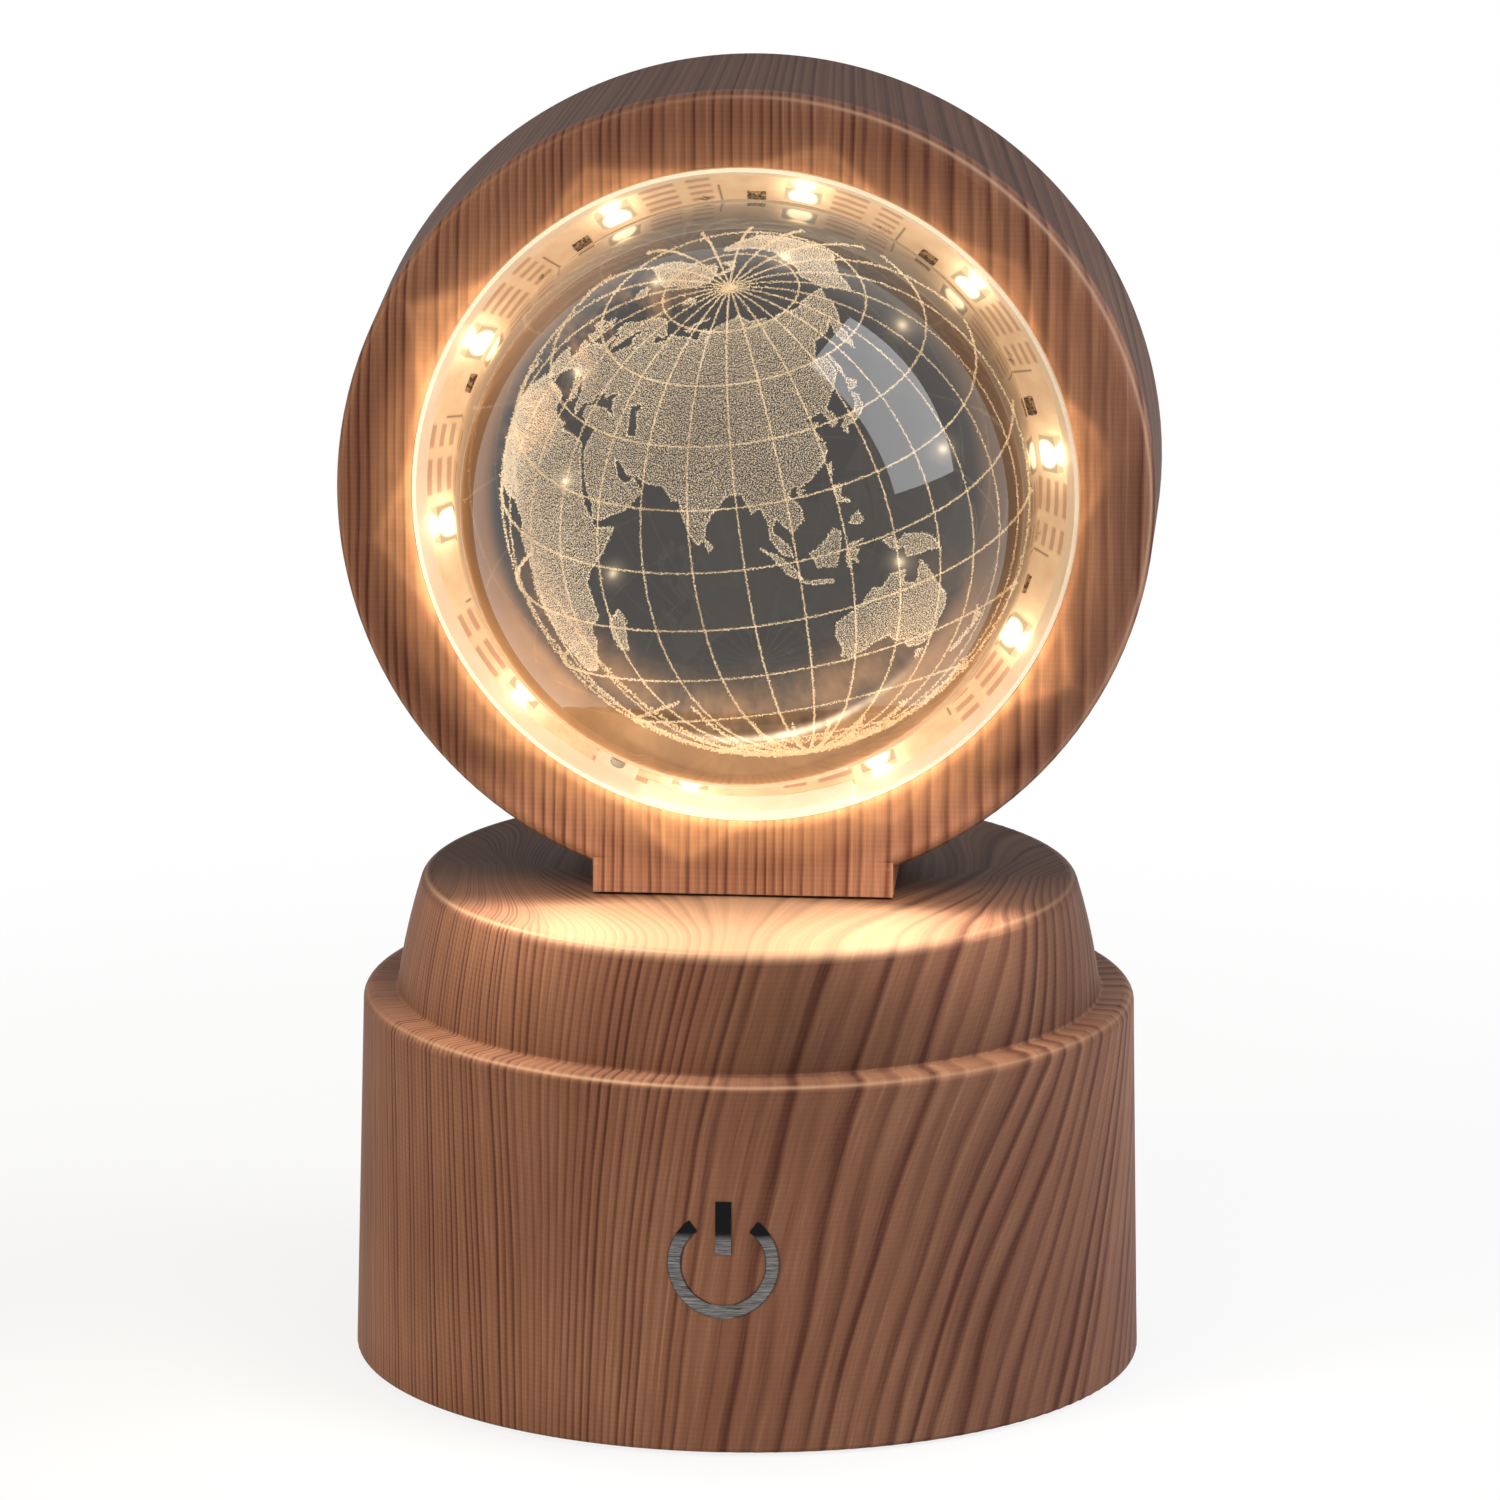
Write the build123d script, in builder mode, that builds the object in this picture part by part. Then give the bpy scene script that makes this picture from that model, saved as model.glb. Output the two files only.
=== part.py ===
"""Crystal ball lamp: a glass ball in an upright ring that turns on a two-tier base.

Millimetres, +Z up, front towards -Y, origin on the table under the middle of the base.
"""

import os
from math import cos, degrees, radians, sin, sqrt, tan

from build123d import *

os.makedirs("parts", exist_ok=True)

# Driving sizes of the whole lamp
ball_radius = 25.0
opening_gap = 3.6
ring_face_width = 6.4
ring_depth = 18.6
ledge_radius = 33.4
ledge_height = 32.4
ledge_width = 2.9
base_height = 42.6
base_flare_width = 0.65
upper_taper_width = 2.3
upper_bulge_depth = 0.25

# Shared walls, clearances and the overrun of cuts
wall = 2.2
slip_clearance = 0.15
screw_clearance = 0.05
running_clearance = 0.05
overrun = 1.0

# Base shell
foot_proud = 0.25
bottom_edge_round = 0.4
ledge_round = 1.0
seam_round = 0.3
top_round = 1.1
boss_inset_depth = 4.2
boss_radius = 2.8
boss_rib = 1.2
boss_angles = (20, 160, 200, 340)
bottom_screw_radius = 1.1
bottom_screw_length = 9.0
bottom_screw_head_radius = 2.2
bottom_screw_head = 1.2

# Bottom plate and feet
plate_thickness = 2.4
foot_pad_radius = 4.0
foot_pad_seat = 0.8
foot_pad_round = 0.25
foot_inset_depth = 7.2
foot_angles = (45, 135, 225, 315)

# Power symbol on the front and the touch pad behind it
symbol_height = 16.85
symbol_radius = 4.75
symbol_stroke = 1.15
symbol_gap_half_angle = 38
symbol_bar_width = 1.35
symbol_bar_length = 4.6
symbol_bar_top = 5.45
foil_thickness = 0.08
touch_pad_width = 14.0
touch_pad_height = 13.0
touch_pad_thickness = 0.3

# Control board, its posts and what is on it
board_width = 24.0
board_front = 1.0
board_rear_gap = 3.2
board_thickness = 1.2
board_corner = 1.0
post_height = 5.6
post_radius = 2.0
post_inset = 3.2
post_rear_inset = 6.4
board_screw_radius = 0.8
board_screw_length = 4.5
board_screw_head_radius = 1.5
board_screw_head = 0.9
plug_width = 3.5
plug_length = 3.0
plug_height = 2.8
plug_spacing = 4.65
plug_setback = 0.4
ring_plug_setback = 2.0
# Chips and coils as shares of the board's width: across, back, width, length, height
board_part_shares = (
    (-0.20, 0.42, 0.21, 0.17, 0.065),
    (0.20, 0.40, 0.17, 0.17, 0.11),
    (0.21, 0.66, 0.13, 0.13, 0.04),
    (-0.10, 0.70, 0.12, 0.07, 0.05),
    (0.00, 0.36, 0.09, 0.05, 0.035),
    (0.00, 0.52, 0.09, 0.05, 0.035),
    (-0.32, 0.66, 0.05, 0.09, 0.035),
    (0.36, 0.52, 0.05, 0.09, 0.035),
    (-0.38, 0.42, 0.05, 0.09, 0.035),
)

# Charging socket
socket_width = 8.94
socket_height = 3.26
socket_length = 7.35
socket_skin = 0.3
socket_recess = 0.7
socket_tongue_width = 6.6
socket_tongue_height = 0.7
socket_tongue_inset = 0.8
socket_back = 1.2
socket_slot_clearance = 0.3

# Battery
cell_corner_gap = 3.1
cell_width = 19.5
cell_thickness = 8.0
cell_setback = 3.5
cell_round = 2.2
cell_foam = 0.5
cell_foam_inset = 2.0

# Leads
ring_lead_diameter = 1.3
small_lead_diameter = 0.9
ring_lead_bend = 1.6
ring_lead_sweep = 3.0
ring_lead_side = 5.0
tail_lead_straight = 4.0
tail_lead_bend = 5.0
cell_lead_bend = 0.9
touch_lead_bend = 2.0
touch_lead_straight = 4.5
lead_drop = 3.75
lead_gap = 0.3
splice_radius = 1.0
splice_length = 5.0

# Swivel
swivel_gap = 0.25
spindle_radius = 4.0
spindle_bore = 2.4
spindle_flat = 3.4
spindle_flange_radius = 6.9
spindle_flange = 1.2
spindle_tail = 0.8
foot_floor = 3.0
flange_screw_pitch = 5.5
flange_screw_angles = (135, 315)
flange_screw_radius = 0.7
flange_screw_length = 3.6
flange_screw_head_radius = 1.2
flange_screw_head = 0.7
thrust_washer_width = 3.6
bush_wall = 1.95
bush_flange_rim = 2.5
bush_flange = 1.5
bush_length = 6.1
stop_plate_rim = 2.5
stop_plate = 1.0
stop_finger_reach = 11.0
stop_finger_width = 3.0
stop_post_radius = 9.6
stop_post_depth = 2.0
stop_post_width = 2.4
spring_width = 2.2
spring_thickness = 0.5
spring_rise = 0.45
nut_flats = 11.0
nut_height = 3.0

# Ring housing
foot_half_width = 12.9
front_edge_round = 1.2
rear_edge_round = 0.4
lip_round = 0.3
seat_step = 0.3
seat_shoulder = 1.0
cover_post_gap = 0.25
cover_screw_angles = (45, 135, 225, 315)

# Rear cover and its screws
cover_thickness = 2.0
cover_recess = 0.2
cover_ball_gap = 0.75
cover_opening_round = 0.5
cover_screw_radius = 0.75
cover_screw_length = 6.0
cover_screw_head_rim = 0.3
cover_screw_head = 1.0

# Light seat inside the ring
seat_clearance = 0.1
seat_lip_setback = 0.2
seat_lip_wall = 0.35
seat_cone_angle = 35
strip_lip_width = 1.2
strip_front_depth = 2.6
seat_tail_wall = 1.9
seat_hole_angle = 204.3
seat_hole_depth = 4.1

# Light strip, diodes, resistors and the white end cover
strip_width = 5.0
strip_thickness = 0.25
strip_start_angle = 208.3
strip_arc_angle = 352
diode_count = 10
diode_first_angle = 10.3
diode_length = 3.2
diode_width = 2.4
diode_height = 0.7
diode_setback = 1.5
resistor_length = 1.6
resistor_width = 0.8
resistor_height = 0.45
resistor_setback = 3.6
resistor_offset_angle = 27
end_cover_start_angle = 160
end_cover_arc_angle = 38
end_cover_thickness = 0.5

# Ball, the bead that holds it and the globe engraved in it
ball_setback = 0.7
bead_length = 2.5
bead_width = 1.6
globe_radius = 13.9
globe_line = 0.2
globe_offset_right = 0.92
globe_offset_back = 2.7
globe_offset_down = 0.34
globe_back_depth = 10.3
globe_tilt_angle = 9.8
globe_roll_angle = -8.15
globe_heading_angle = -1.0
meridian_count = 12
parallel_angles = (-72, -54, -36, -18, 0, 18, 36, 54, 72)


# Places worked out from the sizes above
opening_radius = ball_radius + opening_gap
ring_radius = opening_radius + ring_face_width
base_bottom_radius = ledge_radius + base_flare_width
upper_bottom_radius = ledge_radius - ledge_width
upper_top_radius = upper_bottom_radius - upper_taper_width
plate_top = foot_proud + plate_thickness
ledge_underside = ledge_height - wall
top_underside = base_height - wall
foot_bottom = base_height + swivel_gap
floor_top = foot_bottom + foot_floor
ring_height = foot_bottom + ring_radius
front_face = -ring_depth / 2
rear_face = ring_depth / 2
front_wall_back = front_face + wall
cover_outside = rear_face - cover_recess
cover_inside = cover_outside - cover_thickness
housing_bore = ring_radius - wall
seat_radius = opening_radius + seat_step
cavity_radius = ledge_radius - wall
upper_cavity_radius = upper_top_radius - wall
ball_depth = front_face + ball_setback
board_rear = cavity_radius - board_rear_gap
board_top = plate_top + post_height + board_thickness
boss_pitch = cavity_radius - boss_inset_depth
foot_pitch = cavity_radius - foot_inset_depth
cover_post_pitch = (seat_radius + housing_bore) / 2
cover_post_radius = (housing_bore - seat_radius) / 2 - cover_post_gap
cover_screw_head_radius = cover_post_radius - cover_screw_head_rim
cover_opening_radius = sqrt(ball_radius**2 - (cover_inside - ball_depth) ** 2) + cover_ball_gap
ring_axis = Axis((0, 0, ring_height), (0, 1, 0))


def round_points(radius, angles):
    """Points on a level circle about the middle of the base."""
    return [(radius * cos(radians(a)), radius * sin(radians(a))) for a in angles]


def ring_section(angle):
    """Plane through the ring's axis: x runs back along the axis, y runs out at a clock angle."""
    turn = radians(angle)
    return Plane(origin=(0, 0, ring_height), x_dir=(0, 1, 0), z_dir=(cos(turn), 0, -sin(turn)))


def clock_point(radius, angle, depth):
    """Point on a circle about the ring's axis, clockwise from the top as seen from the front."""
    turn = radians(angle)
    return Vector(radius * sin(turn), depth, ring_height + radius * cos(turn))


def face_points(radius, angles):
    """The same circle's points in the sketch plane of the ring's face."""
    return [(radius * sin(radians(a)), ring_height + radius * cos(radians(a))) for a in angles]


def wall_radius(height):
    """Outer radius of the tapering lower tier at a height."""
    rise = (height - foot_proud) / (ledge_height - foot_proud)
    return base_bottom_radius + (ledge_radius - base_bottom_radius) * rise


def facing_back(depth):
    """Upright plane at a depth, whose sketches are grown towards the back by a negative amount."""
    return Plane.XZ.offset(-depth)


def finish(builder, name):
    """Label a finished piece and write its file."""
    builder.part.label = name
    export_step(builder.part, f"parts/{name}.step")
    print(name, len(builder.part.solids()), round(builder.part.volume, 2))


def write_lead(name, points, bends, diameter):
    """Write a round lead along straight runs joined by arcs."""
    with BuildPart() as lead:
        with BuildLine() as route:
            FilletPolyline(*points, radius=bends)
        with BuildSketch(Plane(origin=route.line @ 0, z_dir=route.line % 0)):
            Circle(diameter / 2)
        sweep(path=route.line)
    finish(lead, name)


# Base shell: both tiers are one moulding, open below
boss_points = round_points(boss_pitch, boss_angles)
foot_points = round_points(foot_pitch, foot_angles)
socket_middle = board_top + socket_height / 2
stop_post_bottom = base_height - bush_length - stop_plate
upper_middle_radius = (upper_bottom_radius + upper_top_radius) / 2 + upper_bulge_depth
upper_middle = (upper_middle_radius, (ledge_height + base_height) / 2)
bush_radius = spindle_radius + running_clearance + bush_wall
rib_length = cavity_radius + wall / 2 - boss_pitch

with BuildPart() as base_shell:
    with BuildSketch(Plane.XZ) as outline:
        with BuildLine():
            Polyline(
                (upper_top_radius, base_height),
                (0, base_height),
                (0, foot_proud),
                (base_bottom_radius, foot_proud),
                (ledge_radius, ledge_height),
                (upper_bottom_radius, ledge_height),
            )
            ThreePointArc((upper_bottom_radius, ledge_height), upper_middle, (upper_top_radius, base_height))
        make_face()
        fillet(outline.vertices().group_by(Axis.Y)[0].sort_by(Axis.X)[-1], bottom_edge_round)
        fillet(outline.vertices().group_by(Axis.Y)[-1].sort_by(Axis.X)[-1], top_round)
        fillet(outline.vertices().sort_by_distance((ledge_radius, ledge_height))[0], ledge_round)
        fillet(outline.vertices().sort_by_distance((upper_bottom_radius, ledge_height))[0], seam_round)
    revolve(axis=Axis.Z)
    with BuildSketch(Plane.XY.offset(foot_proud - overrun)):
        Circle(cavity_radius)
    extrude(amount=ledge_underside - foot_proud + overrun, mode=Mode.SUBTRACT)
    with BuildSketch(Plane.XY.offset(foot_proud)):
        Circle(upper_cavity_radius)
    extrude(amount=top_underside - foot_proud, mode=Mode.SUBTRACT)
    with BuildSketch(Plane.XY.offset(plate_top)):
        with Locations(*boss_points):
            Circle(boss_radius)
        for angle in boss_angles:
            with PolarLocations(radius=boss_pitch + rib_length / 2, count=1, start_angle=angle):
                Rectangle(rib_length, boss_rib)
    extrude(amount=ledge_underside - plate_top)
    with BuildSketch(Plane.XY.offset(plate_top)):
        with Locations(*boss_points):
            Circle(bottom_screw_radius + screw_clearance)
    extrude(amount=bottom_screw_length, mode=Mode.SUBTRACT)
    with BuildSketch(Plane.XY.offset(base_height)):
        Circle(bush_radius + screw_clearance)
    extrude(amount=-(wall + overrun), mode=Mode.SUBTRACT)
    with BuildSketch(Plane.XY.offset(top_underside)):
        with Locations((stop_post_radius + stop_post_depth / 2, 0)):
            Rectangle(stop_post_depth, stop_post_width)
    extrude(amount=stop_post_bottom - top_underside)
    with BuildSketch(facing_back(cavity_radius - wall)):
        with Locations((0, socket_middle)):
            SlotOverall(socket_width + 2 * socket_slot_clearance, socket_height + 2 * socket_slot_clearance)
    extrude(amount=cavity_radius - wall - base_bottom_radius - overrun, mode=Mode.SUBTRACT)
finish(base_shell, "base_shell")

# Bottom plate: closes the base and carries the board's posts and the feet
post_depths = (board_front + post_inset, board_rear - post_rear_inset)
post_points = [(side * (board_width / 2 - post_inset), depth) for side in (-1, 1) for depth in post_depths]

with BuildPart() as bottom_plate:
    with BuildSketch(Plane.XY.offset(foot_proud)):
        Circle(cavity_radius - slip_clearance)
    extrude(amount=plate_thickness)
    with BuildSketch(Plane.XY.offset(foot_proud)):
        with Locations(*foot_points):
            Circle(foot_pad_radius)
    extrude(amount=foot_pad_seat, mode=Mode.SUBTRACT)
    with BuildSketch(Plane.XY.offset(foot_proud - overrun)):
        with Locations(*boss_points):
            Circle(bottom_screw_radius + slip_clearance)
    extrude(amount=plate_thickness + 2 * overrun, mode=Mode.SUBTRACT)
    with BuildSketch(Plane.XY.offset(foot_proud)):
        with Locations(*boss_points):
            Circle(bottom_screw_head_radius + slip_clearance)
    extrude(amount=bottom_screw_head, mode=Mode.SUBTRACT)
    with BuildSketch(Plane.XY.offset(plate_top)):
        with Locations(*post_points):
            Circle(post_radius)
    extrude(amount=post_height)
    with BuildSketch(Plane.XY.offset(plate_top + post_height)):
        with Locations(*post_points):
            Circle(board_screw_radius + screw_clearance)
    extrude(amount=board_thickness - board_screw_length, mode=Mode.SUBTRACT)
finish(bottom_plate, "bottom_plate")

# Screws that hold the bottom plate, heads sunk in its underside
with BuildPart() as bottom_screws:
    with BuildSketch(Plane.XY.offset(foot_proud)):
        with Locations(*boss_points):
            Circle(bottom_screw_head_radius)
    extrude(amount=bottom_screw_head)
    with BuildSketch(Plane.XY.offset(foot_proud + bottom_screw_head)):
        with Locations(*boss_points):
            Circle(bottom_screw_radius)
    extrude(amount=bottom_screw_length)
finish(bottom_screws, "bottom_screws")

# Rubber feet, seated in round pockets of the bottom plate
with BuildPart() as rubber_feet:
    with BuildSketch():
        with Locations(*foot_points):
            Circle(foot_pad_radius)
    extrude(amount=foot_proud + foot_pad_seat)
    fillet(rubber_feet.edges().filter_by(GeomType.CIRCLE).group_by(Axis.Z)[0], foot_pad_round)
finish(rubber_feet, "rubber_feet")

# Power symbol: thin foil laid on the tapering wall
symbol_low = symbol_height - symbol_radius - symbol_stroke
symbol_high = symbol_height + symbol_bar_top + symbol_stroke
symbol_reach = symbol_radius + symbol_bar_top
gap_side = symbol_reach * tan(radians(symbol_gap_half_angle))

with BuildPart() as touch_symbol:
    with BuildSketch(Plane.XZ):
        with BuildLine():
            Polyline(
                (wall_radius(symbol_low), symbol_low),
                (wall_radius(symbol_high), symbol_high),
                (wall_radius(symbol_high) + foil_thickness, symbol_high),
                (wall_radius(symbol_low) + foil_thickness, symbol_low),
                close=True,
            )
        make_face()
    revolve(axis=Axis.Z)
    with BuildSketch(Plane.XZ):
        with Locations((0, symbol_height)):
            Circle(symbol_radius)
            Circle(symbol_radius - symbol_stroke, mode=Mode.SUBTRACT)
        with BuildLine():
            Polyline(
                (0, symbol_height),
                (gap_side, symbol_height + symbol_reach),
                (-gap_side, symbol_height + symbol_reach),
                close=True,
            )
        make_face(mode=Mode.SUBTRACT)
        with Locations((0, symbol_height + symbol_bar_top - symbol_bar_length / 2)):
            Rectangle(symbol_bar_width, symbol_bar_length)
    extrude(amount=base_bottom_radius + overrun, mode=Mode.INTERSECT)
finish(touch_symbol, "touch_symbol")

# Touch pad: copper leaf bent to the inside of the wall behind the symbol
pad_arc = degrees(touch_pad_width / cavity_radius)
pad_start = radians(270 - pad_arc / 2)
pad_way = (cos(pad_start), sin(pad_start), 0)
pad_section = Plane(origin=(0, 0, 0), x_dir=pad_way, z_dir=(sin(pad_start), -cos(pad_start), 0))

with BuildPart() as touch_pad:
    with BuildSketch(pad_section):
        with Locations((cavity_radius - touch_pad_thickness / 2, symbol_height)):
            Rectangle(touch_pad_thickness, touch_pad_height)
    revolve(axis=Axis.Z, revolution_arc=pad_arc)
finish(touch_pad, "touch_pad")

# Control board on its posts
with BuildPart() as control_board:
    with BuildSketch(Plane.XY.offset(board_top)) as board_outline:
        with Locations((0, (board_front + board_rear) / 2)):
            Rectangle(board_width, board_rear - board_front)
        fillet(board_outline.vertices(), board_corner)
        with Locations(*post_points):
            Circle(board_screw_radius + slip_clearance, mode=Mode.SUBTRACT)
    extrude(amount=-board_thickness)
finish(control_board, "control_board")

with BuildPart() as board_screws:
    with BuildSketch(Plane.XY.offset(board_top)):
        with Locations(*post_points):
            Circle(board_screw_head_radius)
    extrude(amount=board_screw_head)
    with BuildSketch(Plane.XY.offset(board_top)):
        with Locations(*post_points):
            Circle(board_screw_radius)
    extrude(amount=-board_screw_length)
finish(board_screws, "board_screws")

with BuildPart() as board_parts:
    for across, back, width, length, height in board_part_shares:
        with BuildSketch(Plane.XY.offset(board_top)):
            with Locations((across * board_width, board_front + back * (board_rear - board_front))):
                Rectangle(width * board_width, length * board_width)
        extrude(amount=height * board_width)
finish(board_parts, "board_parts")

# Plugs of the three leads at the front of the board: cell, ring, touch pad
plug_middle = board_front + plug_setback + plug_length / 2
ring_plug_middle = board_front + ring_plug_setback + plug_length / 2
plug_points = ((-plug_spacing, plug_middle), (0, ring_plug_middle), (plug_spacing, plug_middle))
with BuildPart() as lead_plugs:
    with BuildSketch(Plane.XY.offset(board_top)):
        with Locations(*plug_points):
            Rectangle(plug_width, plug_length)
    extrude(amount=plug_height)
finish(lead_plugs, "lead_plugs")

# Charging socket: open shell with a tongue, its mouth in the slot of the back wall
mouth = wall_radius(socket_middle) - socket_recess
with BuildPart() as charging_socket:
    with BuildSketch(facing_back(mouth)):
        with Locations((0, socket_middle)):
            SlotOverall(socket_width, socket_height)
            SlotOverall(socket_width - 2 * socket_skin, socket_height - 2 * socket_skin, mode=Mode.SUBTRACT)
    extrude(amount=socket_length)
    with BuildSketch(facing_back(mouth - socket_length)):
        with Locations((0, socket_middle)):
            SlotOverall(socket_width - socket_skin, socket_height - socket_skin)
    extrude(amount=-socket_back)
    with BuildSketch(facing_back(mouth - socket_length + socket_back)):
        with Locations((0, socket_middle)):
            Rectangle(socket_tongue_width, socket_tongue_height)
    extrude(amount=socket_back + socket_tongue_inset - socket_length)
finish(charging_socket, "charging_socket")

# Battery cell on its foam pad
cell_rear = board_front - cell_setback
cell_middle = cell_rear - cell_width / 2
cell_length = 2 * sqrt((cavity_radius - cell_corner_gap) ** 2 - (cell_rear - cell_width) ** 2)
cell_bottom = plate_top + cell_foam
with BuildPart() as battery_foam:
    with BuildSketch(Plane.XY.offset(plate_top)):
        with Locations((0, cell_middle)):
            Rectangle(cell_length - 2 * cell_foam_inset, cell_width - 2 * cell_foam_inset)
    extrude(amount=cell_foam)
finish(battery_foam, "battery_foam")

with BuildPart() as battery_cell:
    with BuildSketch(Plane.XY.offset(cell_bottom)):
        with Locations((0, cell_middle)):
            Rectangle(cell_length, cell_width)
    extrude(amount=cell_thickness)
    fillet(battery_cell.edges().filter_by(Axis.X), cell_round)
finish(battery_cell, "battery_cell")

# Swivel, base side: flanged bush in the top of the base and a thrust washer on it
spindle_hole = spindle_radius + running_clearance
bush_bottom = base_height - bush_length
with BuildPart() as swivel_bush:
    with BuildSketch(Plane.XY.offset(bush_bottom)):
        Circle(bush_radius)
    extrude(amount=bush_length)
    with BuildSketch(Plane.XY.offset(top_underside)):
        Circle(bush_radius + bush_flange_rim)
    extrude(amount=-bush_flange)
    with BuildSketch(Plane.XY.offset(bush_bottom - overrun)):
        Circle(spindle_hole)
    extrude(amount=bush_length + 2 * overrun, mode=Mode.SUBTRACT)
finish(swivel_bush, "swivel_bush")

with BuildPart() as thrust_washer:
    with BuildSketch(Plane.XY.offset(base_height)):
        Circle(spindle_hole + slip_clearance + thrust_washer_width)
        Circle(spindle_hole + slip_clearance, mode=Mode.SUBTRACT)
    extrude(amount=swivel_gap)
finish(thrust_washer, "thrust_washer")

# Swivel, head side: hollow spindle, stop plate, disc spring and nut
stop_bottom = bush_bottom - stop_plate
spring_bottom = stop_bottom - spring_rise - spring_thickness
nut_bottom = spring_bottom - nut_height
spindle_bottom = nut_bottom - spindle_tail
flange_points = round_points(flange_screw_pitch, flange_screw_angles)

with BuildPart() as swivel_spindle:
    with BuildSketch(Plane.XY.offset(spindle_bottom)):
        Circle(spindle_radius)
        Rectangle(2 * spindle_flat, 2 * spindle_radius + overrun, mode=Mode.INTERSECT)
    extrude(amount=bush_bottom - spindle_bottom)
    with BuildSketch(Plane.XY.offset(bush_bottom)):
        Circle(spindle_radius)
    extrude(amount=floor_top - bush_bottom)
    with BuildSketch(Plane.XY.offset(floor_top)):
        Circle(spindle_flange_radius)
        with Locations(*flange_points):
            Circle(flange_screw_radius + slip_clearance, mode=Mode.SUBTRACT)
    extrude(amount=spindle_flange)
    with BuildSketch(Plane.XY.offset(spindle_bottom - overrun)):
        Circle(spindle_bore)
    extrude(amount=floor_top + spindle_flange - spindle_bottom + 2 * overrun, mode=Mode.SUBTRACT)
finish(swivel_spindle, "swivel_spindle")

with BuildPart() as flange_screws:
    with BuildSketch(Plane.XY.offset(floor_top + spindle_flange)):
        with Locations(*flange_points):
            Circle(flange_screw_head_radius)
    extrude(amount=flange_screw_head)
    with BuildSketch(Plane.XY.offset(floor_top + spindle_flange)):
        with Locations(*flange_points):
            Circle(flange_screw_radius)
    extrude(amount=-flange_screw_length)
finish(flange_screws, "flange_screws")

with BuildPart() as stop_washer:
    with BuildSketch(Plane.XY.offset(stop_bottom)):
        Circle(spindle_hole + stop_plate_rim)
        with Locations((-stop_finger_reach / 2, 0)):
            Rectangle(stop_finger_reach, stop_finger_width)
    extrude(amount=stop_plate)
    with BuildSketch(Plane.XY.offset(stop_bottom - overrun)):
        Circle(spindle_hole)
        Rectangle(2 * (spindle_flat + running_clearance), 2 * spindle_hole + overrun, mode=Mode.INTERSECT)
    extrude(amount=stop_plate + 2 * overrun, mode=Mode.SUBTRACT)
finish(stop_washer, "stop_washer")

spring_bore = spindle_hole + slip_clearance
with BuildPart() as disc_spring:
    with BuildSketch(Plane.XZ):
        with BuildLine():
            Polyline(
                (spring_bore, spring_bottom),
                (spring_bore, spring_bottom + spring_thickness),
                (spring_bore + spring_width, spring_bottom + spring_thickness + spring_rise),
                (spring_bore + spring_width, spring_bottom + spring_rise),
                close=True,
            )
        make_face()
    revolve(axis=Axis.Z)
finish(disc_spring, "disc_spring")

with BuildPart() as swivel_nut:
    with BuildSketch(Plane.XY.offset(nut_bottom)):
        RegularPolygon(nut_flats / 2, side_count=6, major_radius=False)
        Circle(spindle_hole, mode=Mode.SUBTRACT)
    extrude(amount=nut_height)
finish(swivel_nut, "swivel_nut")

# Ring housing: face, rim and foot in one moulding, open at the back
post_angles = cover_screw_angles
cover_pilot = cover_screw_radius + screw_clearance
rib_reach = housing_bore + wall / 2 - cover_post_pitch

with BuildPart() as ring_housing:
    with BuildSketch(ring_section(0)) as outline:
        with BuildLine():
            Polyline(
                (front_face, opening_radius),
                (front_face, ring_radius),
                (rear_face, ring_radius),
                (rear_face, housing_bore),
                (front_wall_back, housing_bore),
                (front_wall_back, seat_radius + seat_clearance),
                (front_wall_back - seat_shoulder, seat_radius + seat_clearance),
                (front_wall_back - seat_shoulder, opening_radius),
                close=True,
            )
        make_face()
        fillet(outline.vertices().group_by(Axis.Y)[-1].sort_by(Axis.X)[0], front_edge_round)
        fillet(outline.vertices().group_by(Axis.Y)[-1].sort_by(Axis.X)[-1], rear_edge_round)
        fillet(outline.vertices().group_by(Axis.Y)[0].sort_by(Axis.X)[0], lip_round)
    revolve(axis=ring_axis)
    with BuildSketch(Plane.XY.offset(foot_bottom)):
        Rectangle(2 * foot_half_width, ring_depth)
    extrude(amount=foot_floor)
    with BuildSketch(facing_back(cover_inside)):
        with Locations((0, ring_height)):
            Circle(housing_bore)
    extrude(amount=cover_inside - rear_face - overrun, mode=Mode.SUBTRACT)
    with BuildSketch(facing_back(front_wall_back)):
        with Locations(*face_points(cover_post_pitch, post_angles)):
            Circle(cover_post_radius)
        for angle in post_angles:
            with Locations((0, ring_height)):
                with PolarLocations(radius=cover_post_pitch + rib_reach / 2, count=1, start_angle=90 - angle):
                    Rectangle(rib_reach, cover_post_radius)
    extrude(amount=front_wall_back - cover_inside)
    with BuildSketch(facing_back(cover_inside)):
        with Locations(*face_points(cover_post_pitch, post_angles)):
            Circle(cover_pilot)
    extrude(amount=cover_screw_length, mode=Mode.SUBTRACT)
    with BuildSketch(Plane.XY.offset(foot_bottom - overrun)):
        Circle(spindle_hole)
    extrude(amount=foot_floor + 2 * overrun, mode=Mode.SUBTRACT)
    with BuildSketch(Plane.XY.offset(floor_top)):
        with Locations(*flange_points):
            Circle(flange_screw_radius + screw_clearance)
    extrude(amount=spindle_flange - flange_screw_length, mode=Mode.SUBTRACT)
finish(ring_housing, "ring_housing")

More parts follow.
